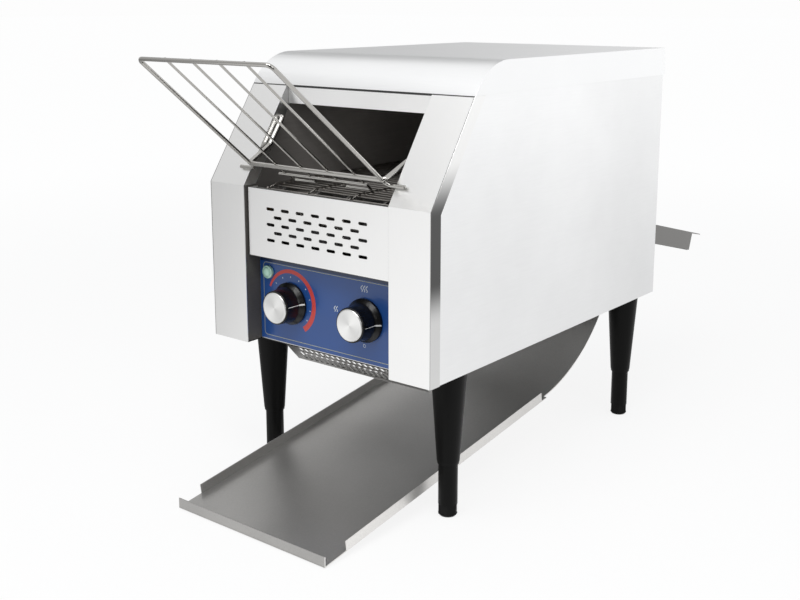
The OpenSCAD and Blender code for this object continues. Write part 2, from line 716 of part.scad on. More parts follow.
// A flat bracket between the motor and the liner, with lugs beside the motor
module motor_bracket() color([0.60, 0.61, 0.63]) in_cabinet()
    box([mouth_half + sheet, motor_y - motor_d / 2 - 10, motor_z - 24],
        [motor_x0, motor_y + motor_d / 2 + 10, motor_z + 24]);

// ---------------------------------------------------------------- heaters and shields

heater_out = 12;
reflector_past = 50;
upper_gap = 22;
lid_gap = 20;

module heater_bank(places) for (place = places)
    x_rod(-mouth_half - heater_out, mouth_half + heater_out, place[0], place[1], heater_d);

module upper_heaters() color([0.55, 0.50, 0.46]) in_cabinet() heater_bank(upper_heater_places);
module lower_heaters() color([0.55, 0.50, 0.46]) in_cabinet() heater_bank(lower_heater_places);

// A ceramic collar holds each end of each heater in the liner
module heater_insulators() color([0.90, 0.88, 0.82]) in_cabinet()
    for (place = concat(upper_heater_places, lower_heater_places), side = [-1, 1])
        on_side(side) difference() {
            union() {
                x_rod(mouth_half - 3, mouth_half + 6, place[0], place[1], insulator_d);
                x_rod(mouth_half + sheet, mouth_half + 4, place[0], place[1], insulator_d + 4);
            }
            x_rod(mouth_half - 4, mouth_half + 7, place[0], place[1], heater_d + 2 * slip_gap);
        }

// A sheet over or under a bank of heaters, with its ends folded to the liners
module reflector(y0, y1, z, fold) {
    box([-fitted_half, y0, z], [fitted_half, y1, z + sheet]);
    for (side = [-1, 1]) on_side(side)
        box([fitted_half - sheet, y0, min(z, z + fold)], [fitted_half, y1, max(z + sheet, z + fold)]);
}

module upper_reflector() color([0.78, 0.78, 0.78]) in_cabinet()
    reflector(bend_c[0] - lid_gap, upper_heater_places[2][0] + reflector_past, leg_h + upper_heater_z + upper_gap, 10);

module lower_reflector() color([0.60, 0.60, 0.60]) in_cabinet()
    reflector(lower_heater_places[0][0] - reflector_past, lower_heater_places[1][0] + reflector_past,
        shaft_z - belt_r + 6, 5);

shield_y = motor_y + 60;
shield_z = shaft_z - belt_r - 16;

// Keeps the heat and crumbs off the controls: a roof over them and a wall behind
module heat_shield() color([0.68, 0.69, 0.70]) in_cabinet() {
    box([-fitted_half, control_setback + sheet, shield_z], [fitted_half, shield_y, shield_z + sheet]);
    box([-fitted_half, shield_y - sheet, floor_z], [fitted_half, shield_y, shield_z + sheet]);
    for (side = [-1, 1]) on_side(side)
        box([fitted_half - sheet, control_setback + sheet, shield_z - 9], [fitted_half, shield_y, shield_z + sheet]);
}

// Turns the toast down behind the belt and forward onto the chute
module drop_deflector() color([0.60, 0.60, 0.60]) in_cabinet() {
    back = rear_inner_y - 8;
    bend_z = shaft_z - 30;
    across([
        [back, shaft_z + 46], [back, bend_z], [drop_y1, floor_z], [drop_y1 + sheet, floor_z],
        [back + sheet, bend_z], [back + sheet, shaft_z + 46]
    ], -fitted_half, fitted_half);
    box([-fitted_half, back, shaft_z + 45], [fitted_half, rear_inner_y, shaft_z + 46]);
    for (side = [-1, 1]) on_side(side)
        box([fitted_half - sheet, back - 6, bend_z], [fitted_half, back + sheet / 2, shaft_z + 40]);
}

// A sheet hood screwed to the back: it keeps the hot panel away from a wall
module rear_guard() color([0.45, 0.45, 0.45]) in_cabinet() translate([0, body_d - sheet, leg_h + rear_guard_z]) {
    half = side_inner_x - 2;
    fall = tan(rear_guard_slope);
    thick = sheet / cos(rear_guard_slope);
    wall_y = rear_guard_d - rear_guard_lip;
    foot_y = wall_y - rear_guard_h / 3;
    across([[0, 0], [rear_guard_d, -rear_guard_d * fall], [rear_guard_d, -rear_guard_d * fall - thick], [0, -thick]],
        -half, half);
    box([-half, 0, -sheet / 2], [half, sheet, flange_w]);
    for (side = [-1, 1]) on_side(side) {
        across([[0, -thick / 2], [wall_y, -wall_y * fall - thick / 2], [foot_y, -foot_y * fall - rear_guard_h],
            [0, -rear_guard_h]], half - sheet, half);
        across([[0, thick - rear_guard_h], [foot_y - 3, thick - rear_guard_h - (foot_y - 3) * fall],
            [foot_y - 3, -rear_guard_h - (foot_y - 3) * fall], [0, -rear_guard_h]], half - 5 * sheet, half);
    }
}

// ---------------------------------------------------------------- electrics

module fan_frame() color([0.08, 0.08, 0.08]) in_cabinet() translate([0, fan_y, floor_z]) difference() {
    box([-fan_size / 2, -fan_size / 2, 0], [fan_size / 2, fan_size / 2, 25]);
    difference() {
        translate([0, 0, -over]) cylinder(h = 27, d = fan_bore);
        translate([0, 0, 20]) cylinder(h = 5, d = 32);
        for (i = [0 : 3]) rotate([0, 0, 45 + 90 * i]) box([12, -2, 20], [fan_bore / 2 + 2, 2, 25]);
    }
    for (x = [-1, 1], y = [-1, 1]) translate([x * 35.75, y * 35.75, -over]) cylinder(h = 27, d = 4.3);
}

blade_count = 7;

module fan_rotor() color([0.12, 0.12, 0.12]) in_cabinet() translate([0, fan_y, floor_z]) {
    translate([0, 0, 2]) cylinder(h = 17.7, d = 32);
    for (i = [0 : blade_count - 1]) rotate([0, 0, i * 360 / blade_count])
        translate([14, 0, 11]) rotate([38, 0, 0]) box([0, -11, -0.8], [21, 11, 0.8]);
}

terminal_inset = 80;

module terminal_block() color([0.88, 0.86, 0.78]) in_cabinet()
    translate([-vent_x, rear_inner_y - terminal_inset, floor_z]) difference() {
        box([-10, -26, 0], [10, 26, 16]);
        for (i = [-2 : 2]) translate([0, i * 10, 8]) {
            box([-7, -3.4, 0], [7, 3.4, 9]);
            translate([0, 0, -over]) cylinder(h = 3, d = 4, $fn = 24);
        }
    }

// The bush for the mains lead, clamped to the rear panel
module cable_gland() color([0.08, 0.08, 0.08]) in_cabinet() translate([-vent_x, 0, gland_z]) difference() {
    union() {
        y_rod(0, rear_inner_y - 5, body_d + 4, 0, gland_d - 2 * slip_gap);
        y_rod(0, body_d - sheet, body_d + 1.5, 0, gland_d + 7);
        translate([0, body_d + 8, 0]) rotate([90, 0, 0]) cylinder(h = 7, d1 = gland_d - 3, d2 = gland_d + 3);
        translate([0, rear_inner_y - 4, 0]) rotate([-90, 0, 0]) cylinder(h = 4, d = gland_d + 6, $fn = 6);
    }
    y_rod(0, rear_inner_y - 6, body_d + 9, 0, 9);
}

// ---------------------------------------------------------------- load rack

pivot_at_z = leg_h + pivot_z;
pivot_y = slope_y(pivot_at_z, pivot_depth);
arm_half = rack_half + 2;
rack_bar = [rack_bar_y, leg_h + rack_bar_z];
rack_up = [-cos(rack_slope), sin(rack_slope)];
rack_under = [-sin(rack_slope), -cos(rack_slope)];
peg_out = mouth_half + sheet + 2;

// A point of the rack, from its distance across, up its slope and under its plane
function rack_at(x, v, n) = [
    x, rack_bar[0] + v * rack_up[0] + n * rack_under[0], rack_bar[1] + v * rack_up[1] + n * rack_under[1]
];
// The feet at the lower ends of the side rods rest on the cheeks
foot_line = (slope_surface(rack_at(0, 0, 0)) - rack_rod_d / 2 - fit_gap)
    / (slope_surface(rack_at(0, 0, 0)) - slope_surface(rack_at(0, -1, 0)));
function slope_surface(p) = cos(slope_a) * (p[2] - chin_z) - sin(slope_a) * p[1];
rack_foot_half = mouth_half + 13;

module load_rack() color([0.75, 0.75, 0.74]) in_cabinet() {
    stop_half = rack_half * 0.69;
    for (side = [-1, 1]) {
        foot = rack_at(side * rack_half, -foot_line, 0);
        top = rack_at(side * rack_half, rack_len, 0);
        corner = rack_at(side * arm_half, 0, 0);
        elbow = [side * arm_half, rack_bar_y + 26, leg_h + rack_bar_z + 10];
        pivot = [side * arm_half, pivot_y, pivot_at_z];
        rod(foot, top, rack_rod_d);
        rod(foot, rack_at(side * rack_foot_half, -foot_line, 0), rack_rod_d);
        rod(corner, elbow, rack_bar_d);
        rod(elbow, pivot, rack_bar_d);
        rod(pivot, [side * peg_out, pivot_y, pivot_at_z], rack_bar_d);
        weld(foot, rack_rod_d);
        weld(top, rack_rod_d);
        weld(corner, rack_bar_d);
        weld(elbow, rack_bar_d);
        weld(pivot, rack_bar_d);
    }
    rod(rack_at(-rack_half, rack_len, 0), rack_at(rack_half, rack_len, 0), rack_rod_d);
    rod(rack_at(-arm_half, 0, 0), rack_at(arm_half, 0, 0), rack_bar_d);
    for (i = [1 : rack_wires]) {
        x = -rack_half + i * 2 * rack_half / (rack_wires + 1);
        rod(rack_at(x, -foot_line, rack_under_d), rack_at(x, rack_len + rack_poke, rack_under_d), rack_wire_d);
    }
    // the stop bar, and two short bars hung from it
    stop_n = rack_under_d + rack_wire_d * 0.8;
    rod(rack_at(-stop_half, -foot_line, stop_n), rack_at(stop_half, -foot_line, stop_n), rack_stop_d);
    for (place = [[-rack_half * 0.5, -rack_half * 0.15], [rack_half * 0.29, rack_half * 0.66]]) {
        rod(rack_at(place[0], -foot_line - 4, stop_n), rack_at(place[1], -foot_line - 4, stop_n), rack_stop_d);
        for (x = place) {
            rod(rack_at(x, -foot_line, stop_n), rack_at(x, -foot_line - 4, stop_n), rack_stop_d * 0.9);
            weld(rack_at(x, -foot_line - 4, stop_n), rack_stop_d);
        }
    }
}
rack_stop_d = rack_wire_d * 1.2;

// ---------------------------------------------------------------- toast tray

tray_y = -tray_reach;
tray_z = 1;
tray_long = (chute_y + tray_reach) / cos(tray_slope);
chute_z = tray_z + (chute_y + tray_reach) * tan(tray_slope) + sheet;
chute_c = [chute_y - chute_radius * sin(tray_slope), chute_z + chute_radius * cos(tray_slope)];
chute_top_z = leg_h - chute_top_gap;
chute_end_a = acos((chute_c[1] - chute_top_z) / chute_radius);
ear_z = leg_h - 8.7;
ear_a = acos((chute_c[1] - ear_z - 1.5) / chute_radius);
ear_y = chute_c[0] + chute_radius * sin(ear_a);
rail_web_x = leg_x - sleeve_top_d / 2 - fit_gap - sheet;
ear_out = rail_web_x - fit_gap;

module toast_tray() color([0.60, 0.59, 0.57]) in_cabinet() {
    half = tray_half;
    translate([0, tray_y, tray_z]) rotate([tray_slope, 0, 0]) {
        box([-half, 0, 0], [half, tray_long, sheet]);
        for (side = [-1, 1]) on_side(side)
            box([half - sheet, tray_flange_start, 0], [half, tray_long - 10, tray_flange]);
    }
    box([-half, tray_y, tray_z], [half, tray_y + sheet, tray_z + tray_lip]);
    across_shape(-chute_half, chute_half) intersection() {
        difference() {
            translate(chute_c) circle(r = chute_radius + sheet, $fn = 192);
            translate(chute_c) circle(r = chute_radius, $fn = 192);
        }
        polygon([chute_c, chute_c + 2 * chute_radius * [sin(tray_slope - 0.5), -cos(tray_slope - 0.5)],
            chute_c + 2 * chute_radius * [sin(chute_end_a), -cos(chute_end_a)]]);
    }
    // ears that ride on the rails under the cabinet
    for (side = [-1, 1]) on_side(side)
        box([chute_half - 2, ear_y - 3, ear_z], [ear_out, ear_y + 3, ear_z + 3]);
}

// Two rails under the base pan carry the tray's ears
module tray_rails() color([0.62, 0.63, 0.65]) in_cabinet() {
    ledge_x = chute_half + 0.6;
    for (side = [-1, 1]) on_side(side) {
        box([ledge_x, ear_y - tray_travel - 12, ear_z - fit_gap - sheet],
            [rail_web_x + sheet, ear_y + 12, ear_z - fit_gap]);
        box([rail_web_x, ear_y - tray_travel - 12, ear_z - fit_gap - sheet],
            [rail_web_x + sheet, ear_y + 12, leg_h]);
        box([drop_half + 3, ear_y - tray_travel - 12, leg_h - sheet],
            [rail_web_x + sheet, ear_y + 12, leg_h]);
    }
}

// ---------------------------------------------------------------- legs

leg_bolt_d = 6;
stem_bore_top = leg_h - 14;
shank_top = sleeve_z + 4;

module at_leg(side, end)
    translate([side * leg_x, end < 0 ? leg_setback : body_d - leg_rear_inset, 0]) children();
module at_legs() for (side = [-1, 1], end = [-1, 1]) at_leg(side, end) children();

// A moulded sleeve with a short collar at its lower end
module leg_sleeve(side, end) color([0.06, 0.06, 0.06]) in_cabinet() at_leg(side, end) difference() {
    union() {
        translate([0, 0, sleeve_z + 3]) cylinder(h = leg_h - sleeve_z - 3, d1 = sleeve_end_d, d2 = sleeve_top_d);
        translate([0, 0, sleeve_z]) cylinder(h = 3 + over, d1 = sleeve_end_d - 1.2, d2 = sleeve_end_d);
    }
    translate([0, 0, sleeve_z - over]) cylinder(h = shank_top + foot_in + fit_gap - sleeve_z + over,
        d = foot_d + fit_gap);
    translate([0, 0, sleeve_z - over]) cylinder(h = stem_bore_top - sleeve_z + over, d = foot_stem_d + 2 * slip_gap);
    translate([0, 0, stem_bore_top - over]) cylinder(h = leg_h, d = leg_bolt_d + 2 * slip_gap);
}

module leg_front_left() leg_sleeve(-1, -1);
module leg_front_right() leg_sleeve(1, -1);
module leg_rear_left() leg_sleeve(-1, 1);
module leg_rear_right() leg_sleeve(1, 1);

// A foot: a round shank, a hexagon for the spanner and a chamfered pad
module foot(side, end) color([0.06, 0.06, 0.06]) in_cabinet() at_leg(side, end) {
    cylinder(h = 2, d1 = foot_d - 3, d2 = foot_d - 0.2);
    translate([0, 0, 2]) cylinder(h = 11, d = foot_d + 1, $fn = 6);
    translate([0, 0, 13 - over]) cylinder(h = shank_top - 13 + over, d = foot_d);
    translate([0, 0, 13]) cylinder(h = stem_bore_top - foot_in - fit_gap - 13, d = foot_stem_d);
}

module foot_front_left() foot(-1, -1);
module foot_front_right() foot(1, -1);
module foot_rear_left() foot(-1, 1);
module foot_rear_right() foot(1, 1);

// ---------------------------------------------------------------- fasteners

module leg_bolts() color([0.70, 0.70, 0.70]) in_cabinet() at_legs() {
    translate([0, 0, stem_bore_top + 1]) cylinder(h = floor_z - stem_bore_top, d = leg_bolt_d, $fn = 32);
    translate([0, 0, floor_z]) cylinder(h = 4, d = 11, $fn = 6);
}

// Pan-head screws on the back: through the guard's flange and along the rear panel
module panel_screws() color([0.72, 0.72, 0.72]) in_cabinet() {
    for (side = [-1, 1]) {
        rear_screw(side * (side_inner_x - 20), body_d, leg_h + rear_guard_z + 7);
        rear_screw(side * (side_inner_x - flange_w / 2), body_d - sheet, leg_h + 12);
        rear_screw(side * (side_inner_x - flange_w / 2), body_d - sheet, leg_h + body_h / 2);
        rear_screw(side * (side_inner_x - flange_w / 2), body_d - sheet, shoulder_z - 8);
    }
}

module rear_screw(x, y, z) translate([x, y, z]) rotate([-90, 0, 0])
    rotate_extrude($fn = 32) polygon([[0, 0], [3.6, 0], [3.3, 1.3], [1.8, 2.1], [0, 2.3]]);

// ---------------------------------------------------------------- sides

module cheek_left() color([0.88, 0.88, 0.88]) in_cabinet() on_side(-1) cheek();
module cheek_right() color([0.92, 0.92, 0.92]) in_cabinet() on_side(1) cheek();
module side_panel_left() color([0.84, 0.85, 0.86]) in_cabinet() on_side(-1) side_panel();
module side_panel_right() color([0.84, 0.85, 0.86]) in_cabinet() on_side(1) side_panel();
module liner_left() color([0.18, 0.18, 0.18]) in_cabinet() on_side(-1) liner();
module liner_right() color([0.18, 0.18, 0.18]) in_cabinet() on_side(1) liner();

base_pan();
cheek_left();
cheek_right();
side_panel_left();
side_panel_right();
lid();
rear_panel();
liner_left();
liner_right();
visor();
guard_panel();
control_panel();
control_label();
bottom_grille();
pilot_lamp();
upper_reflector();
lower_reflector();
heat_shield();
drop_deflector();
rear_guard();
upper_heaters();
lower_heaters();
heater_insulators();
wire_belt();
shaft_bushes();
drive_shaft();
drive_sprockets();
chain_wheel();
idler_shaft();
idler_sprockets();
gear_motor();
motor_bracket();
motor_pinion();
drive_chain();
fan_frame();
fan_rotor();
speed_control();
heat_selector();
terminal_block();
cable_gland();
speed_knob();
speed_knob_cap();
speed_shaft();
selector_knob();
selector_knob_cap();
selector_shaft();
load_rack();
toast_tray();
tray_rails();
leg_front_left();
leg_front_right();
leg_rear_left();
leg_rear_right();
foot_front_left();
foot_front_right();
foot_rear_left();
foot_rear_right();
leg_bolts();
panel_screws();
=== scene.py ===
import functools
import json
import math

import bmesh
import bpy
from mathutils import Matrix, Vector


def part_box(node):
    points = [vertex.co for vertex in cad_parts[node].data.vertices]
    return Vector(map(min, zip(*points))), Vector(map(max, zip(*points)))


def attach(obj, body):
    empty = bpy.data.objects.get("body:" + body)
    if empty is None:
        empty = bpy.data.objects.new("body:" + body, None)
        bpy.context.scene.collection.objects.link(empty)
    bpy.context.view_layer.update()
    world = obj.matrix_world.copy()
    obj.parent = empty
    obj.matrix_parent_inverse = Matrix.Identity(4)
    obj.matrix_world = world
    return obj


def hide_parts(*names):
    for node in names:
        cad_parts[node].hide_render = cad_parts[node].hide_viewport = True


bl_info = {
    "name": "Conveyor toaster",
    "version": (1, 0, 0),
    "blender": (4, 5, 0),
    "location": "3D View > Sidebar > Toaster",
    "description": "Dresses the conveyor toaster's solids in their finishes and adds its fine pieces",
    "category": "Object",
}

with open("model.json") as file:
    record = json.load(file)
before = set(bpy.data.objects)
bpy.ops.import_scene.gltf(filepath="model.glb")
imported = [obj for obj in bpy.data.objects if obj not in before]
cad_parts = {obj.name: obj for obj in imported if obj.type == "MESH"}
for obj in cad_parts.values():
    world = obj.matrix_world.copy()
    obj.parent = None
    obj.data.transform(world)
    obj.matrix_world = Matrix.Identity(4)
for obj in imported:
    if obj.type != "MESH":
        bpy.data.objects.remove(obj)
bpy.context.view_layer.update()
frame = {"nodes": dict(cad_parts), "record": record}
# The record's material slot of every node, and the body that it rides on
SLOTS = {part["node"]: part.get("material_slot") or part["node"] for part in frame["record"]["subparts"]}
BODIES = {node: body for body, members in frame["record"]["behaviour"]["bodies"].items() for node in members}

MM = 0.001
# The places that the solids are drawn from, in millimetres. Heights are from the counter, and y is
# from the cabinet's front plane
CABINET_FRONT = -227.926
UNDERSIDE = 152.0
SHAFT_Z = 295.6815
FRONT_SHAFT_Y = 36.0
BELT_R = 5.0 / math.sin(math.radians(15.0))
BELT_PITCH = 10.0
BELT_RUN = 34
BELT_TEETH = 12
KNOB_Z = 197.7
KNOB_X = 50.0
KNOB_BACK = 19.0
# The film: its plane, its edges (left, right, lower, upper), and how much lower than its solid it is
# cut, down to the panel's edge
LABEL_Y = 19.6
LABEL = (-92.9, 92.9, 156.5, 245.1)
FILM_DROP = 2.5
PRINT_THICKNESS = 0.06


def at(x, y, z):
    """A point of the cabinet in millimetres, as a place in the part's frame in metres."""
    return Vector((x * MM, (y + CABINET_FRONT) * MM, z * MM))


# -------------------- settings


def colour_setting(name, about, default):
    """A colour in the sidebar."""
    return bpy.props.FloatVectorProperty(
        name=name, description=about, subtype="COLOR", default=default, min=0.0, max=1.0)


def number_setting(name, about, kind, default, least, most):
    """A number in the sidebar, of a kind such as a distance."""
    return bpy.props.FloatProperty(
        name=name, description=about, subtype=kind, default=default, min=least, max=most)


class ToasterSteelSettings(bpy.types.PropertyGroup):
    front: colour_setting("Front steel", "Colour of the brushed steel in front", (0.92, 0.92, 0.915))
    casing: colour_setting("Casing steel", "Colour of the side panels and the lid", (0.92, 0.925, 0.93))
    tray: colour_setting(
        "Tray steel", "Colour of the tray, the grille and the rear guard", (0.56, 0.55, 0.535))
    fold: number_setting(
        "Fold radius", "Rounding of the sheets' edges and folds", "DISTANCE", 0.0005, 0.0001, 0.002)


class ToasterLabelSettings(bpy.types.PropertyGroup):
    film: colour_setting("Film", "Colour of the control panel's film", (0.014, 0.068, 0.255))
    sweep: colour_setting("Sweep", "Colour of the sweep round the speed knob", (0.56, 0.055, 0.045))
    sweep_radius: number_setting(
        "Sweep radius", "Radius of the sweep's middle line", "DISTANCE", 0.0318, 0.026, 0.034)
    sweep_end: number_setting(
        "Sweep end width", "Width of the sweep at its fast end", "DISTANCE", 0.0056, 0.003, 0.007)


class ToasterWireSettings(bpy.types.PropertyGroup):
    rack_bend: number_setting(
        "Rack bend", "Radius of the load rack's bends", "DISTANCE", 0.006, 0.004, 0.012)
    belt_wire: number_setting(
        "Belt wire", "Diameter of the belt's cross wires", "DISTANCE", 0.0024, 0.0018, 0.0024)


class ToasterStageSettings(bpy.types.PropertyGroup):
    lamp_power: number_setting("Lamp power", "Power of the key lamp", "POWER", 14.0, 1.0, 200.0)
    soft_light: number_setting(
        "Soft light", "Strength of the even light from all around", "NONE", 0.66, 0.0, 2.0)
    shadow: number_setting(
        "Shadow", "How much of the floor's shadow shows", "FACTOR", 0.17, 0.0, 1.0)


# -------------------- node tools


def feed(tree, node, inputs):
    """Feeds a node's inputs, by place or by name, from sockets or plain values."""
    for key, value in inputs.items() if isinstance(inputs, dict) else enumerate(inputs):
        if isinstance(value, bpy.types.NodeSocket):
            tree.links.new(value, node.inputs[key])
        elif value is not None:
            node.inputs[key].default_value = value


def put(tree, kind, inputs=(), **settings):
    """Adds a node with its settings and feeds its inputs."""
    node = tree.nodes.new(kind)
    for name, setting in settings.items():
        setattr(node, name, setting)
    feed(tree, node, inputs)
    return node


def node_group(name, sockets_in, sockets_out, family="ShaderNodeTree"):
    """A node group with named sockets, and the sockets that its inputs come from."""
    group = bpy.data.node_groups.new(name, family)
    for socket, kind, value in sockets_in:
        made = group.interface.new_socket(socket, in_out="INPUT", socket_type="NodeSocket" + kind)
        if value is not None:
            made.default_value = value
    for socket, kind in sockets_out:
        group.interface.new_socket(socket, in_out="OUTPUT", socket_type="NodeSocket" + kind)
    return group, put(group, "NodeGroupInput").outputs


def math_node(tree, operation, a, b=None, clamp=False):
    """A Math node fed by sockets or numbers."""
    return put(tree, "ShaderNodeMath", (a, b), operation=operation, use_clamp=clamp).outputs[0]


def product(tree, a, b):
    """Two values multiplied."""
    return math_node(tree, "MULTIPLY", a, b)


def above(tree, value, limit):
    """1 where a value is above a limit, 0 elsewhere."""
    return math_node(tree, "GREATER_THAN", value, limit)


def vector_math(tree, operation, *inputs):
    """A Vector Math node's result, a number where the operation gives one."""
    node = put(tree, "ShaderNodeVectorMath", inputs, operation=operation)
    return node.outputs["Value" if operation in ("LENGTH", "DOT_PRODUCT") else "Vector"]


def parts_of(tree, vector):
    """A vector's x, y and z."""
    return tuple(put(tree, "ShaderNodeSeparateXYZ", (vector,)).outputs)


def ranged(tree, value, low, high):
    """Maps 0..1 to low..high."""
    return put(tree, "ShaderNodeMapRange", (value, 0.0, 1.0, low, high)).outputs[0]


def spread(tree, value, reach, result):
    """Turns a value that runs over a reach smoothly into a value that runs over a result."""
    return put(tree, "ShaderNodeMapRange", (value, *reach, *result),
               interpolation_type="SMOOTHSTEP").outputs[0]


def blend(tree, factor, first, second):
    """A mix of two numbers or sockets."""
    return put(tree, "ShaderNodeMix", {"Factor": factor, "A": first, "B": second}).outputs["Result"]


def mixed(tree, factor, first, second):
    """A mix of two colours."""
    node = put(tree, "ShaderNodeMix", (factor,), data_type="RGBA")
    for socket, colour in zip([i for i in node.inputs if i.type == "RGBA"], (first, second)):
        socket.default_value = (*colour, 1.0)
    return next(o for o in node.outputs if o.type == "RGBA")


def noise(tree, vector, scale, detail, roughness):
    """A noise texture on a vector."""
    return put(tree, "ShaderNodeTexNoise", {
        "Vector": vector, "Scale": scale, "Detail": detail, "Roughness": roughness}).outputs["Fac"]


def bumped(tree, height, strength, distance):
    """A normal from a height."""
    return put(tree, "ShaderNodeBump", {
        "Strength": strength, "Distance": distance, "Height": height}).outputs[0]


@functools.cache
def grain_group():
    """Brushed grain along one axis, with soft blotches and rare fine scratches."""
    group, given = node_group(
        "Brushed grain",
        [("Vector", "Vector", None), ("Stretch", "Vector", (1.0, 40.0, 40.0)),
         ("Scale", "Float", 60.0), ("Blotch scale", "Float", 9.0)],
        [("Grain", "Float"), ("Blotch", "Float"), ("Scratch", "Float")])
    drawn = vector_math(group, "MULTIPLY", given["Vector"], given["Stretch"])
    rare = math_node(group, "SUBTRACT", noise(group, drawn, 7.0, 2.0, 0.5), 0.66)
    put(group, "NodeGroupOutput", {
        "Grain": noise(group, drawn, given["Scale"], 4.0, 0.65),
        "Blotch": noise(group, given["Vector"], given["Blotch scale"], 3.0, 0.5),
        "Scratch": math_node(group, "MULTIPLY", rare, 9.0, clamp=True)})
    return group


@functools.cache
def speckle_group():
    """Fine moulded or cast texture with soft unevenness."""
    group, given = node_group(
        "Moulded surface", [("Vector", "Vector", None), ("Scale", "Float", 900.0)],
        [("Texture", "Float"), ("Blotch", "Float")])
    put(group, "NodeGroupOutput", {
        "Texture": noise(group, given["Vector"], given["Scale"], 2.0, 0.5),
        "Blotch": noise(group, given["Vector"], 30.0, 3.0, 0.5)})
    return group


# -------------------- finishes


def emptied(holder):
    """The node tree of a material or a world, without its nodes."""
    holder.use_nodes = True
    holder.node_tree.nodes.clear()
    return holder.node_tree


def new_material(name):
    """A node material with its Principled shader, and the object's coordinates."""
    material = bpy.data.materials.new(name)
    tree = emptied(material)
    shader = put(tree, "ShaderNodeBsdfPrincipled")
    put(tree, "ShaderNodeOutputMaterial", {"Surface": shader.outputs[0]})
    return material, tree, shader, put(tree, "ShaderNodeTexCoord").outputs["Object"]


def coords_of(tree):
    """The object's coordinates in a finish."""
    return next(n for n in tree.nodes if n.type == "TEX_COORD").outputs["Object"]


def scaled(colour, factor):
    """A colour made lighter or darker."""
    return tuple(min(1.0, c * factor) for c in colour)


def steel(name, colour, rough=0.30, along="x", scale=60.0, uneven=0.06, bump=0.05, blotch=0.05,
          stretch=34.0, metal=1.0):
    """Brushed steel whose grain runs along an axis."""
    material, tree, shader, place = new_material(name)
    grain = put(tree, "ShaderNodeGroup", node_tree=grain_group())
    feed(tree, grain, {"Vector": place, "Scale": scale,
                       "Stretch": tuple(1.0 if axis == along else stretch for axis in "xyz")})
    fine, soft, scratch = grain.outputs
    tone = math_node(tree, "ADD", product(tree, fine, 0.5), product(tree, soft, 0.5))
    gloss = math_node(tree, "ADD", fine, product(tree, scratch, 0.6))
    feed(tree, shader, {
        "Base Color": mixed(tree, tone, scaled(colour, 1.0 - uneven - blotch), scaled(colour, 1.0 + uneven)),
        "Roughness": ranged(tree, gloss, rough - 0.06, rough + 0.08),
        "Metallic": metal, "Normal": bumped(tree, fine, bump, 0.0004)})
    return material


def moulded(name, colour, rough=0.4, texture=0.1, scale=900.0, coat=0.0, uneven=0.15, specular=0.5):
    """Moulded plastic, ceramic or paint."""
    material, tree, shader, place = new_material(name)
    surface = put(tree, "ShaderNodeGroup", node_tree=speckle_group())
    feed(tree, surface, {"Vector": place, "Scale": scale})
    texture_height, soft = surface.outputs
    feed(tree, shader, {
        "Base Color": mixed(tree, soft, scaled(colour, 1.0 - uneven), scaled(colour, 1.0 + uneven)),
        "Specular IOR Level": specular, "Roughness": ranged(tree, soft, rough - 0.07, rough + 0.07),
        "Coat Weight": coat, "Coat Roughness": 0.06,
        "Normal": bumped(tree, texture_height, texture, 0.0002)})
    return material


def ink(name, colour, rough):
    """A printed ink: a flat colour with a little unevenness of its gloss."""
    return moulded(name, colour, rough, 0.03, 2500.0, 0.0, 0.06)


def spun(name, colour, centre):
    """A metal disc brushed from its middle outwards, seen along Y, with a painted sheen that brightens and
    darkens its colour twice round the disc.
    """
    material, tree, shader, place = new_material(name)
    moved = put(tree, "ShaderNodeMapping", {"Location": -centre, "Vector": place}).outputs[0]
    x, _, z = parts_of(tree, moved)
    turn = math_node(tree, "ARCTAN2", z, x)
    radius = vector_math(tree, "LENGTH", put(tree, "ShaderNodeCombineXYZ", (x, z)).outputs[0])
    polar = put(tree, "ShaderNodeCombineXYZ", (product(tree, radius, 900.0), product(tree, turn, 0.6)))
    rings = noise(tree, polar.outputs[0], 3.0, 3.0, 0.6)
    # Painted sheen: two bright and two dark sectors in the colour, as a spun disc's reflection
    wave = math_node(tree, "SINE", product(tree, turn, 2.0))
    painted_sheen = product(tree, math_node(tree, "ADD", wave, 1.0), 0.5)
    tone = math_node(tree, "ADD", product(tree, rings, 0.2), product(tree, painted_sheen, 0.8))
    feed(tree, shader, {
        "Base Color": mixed(tree, tone, scaled(colour, 0.84), scaled(colour, 1.15)),
        "Roughness": ranged(tree, rings, 0.26, 0.32),
        "Metallic": 1.0, "Normal": bumped(tree, rings, 0.04, 0.0001)})
    return material


def toned(material, tone):
    """Makes a finish lighter or darker from place to place, by a value made from x, y and z: painted light
    and shade, and the casing's soft blotches.
    """
    tree = material.node_tree
    shader = next(n for n in tree.nodes if n.type == "BSDF_PRINCIPLED")
    face = shader.inputs["Base Color"].links[0].from_socket
    value = tone(tree, *parts_of(tree, coords_of(tree)))
    dull = put(tree, "ShaderNodeVectorMath", {0: face, "Scale": value}, operation="SCALE")
    feed(tree, shader, {"Base Color": dull.outputs[0]})
    return material


# Where a finish changes, in metres: the painted shadows in the seams under the lid, round the guard panel and
# over the film, the folds' painted shade lines and rim highlight, and the height over which a cheek's fold is
# painted bright
CHEEK_SEAM_SHADOW, VISOR_SEAM_SHADOW, FILM_SEAM_SHADOW = 0.4154, 0.4142, 0.2374
GUARD_SIDE, GUARD_FOOT = 0.0919, 0.2462
FOLD_FACE, FOLD_SHADE_LINE, TRAY_RIM = 0.00035, 0.0010, 0.0016
CHIN, SHOULDER = 0.318, 0.362


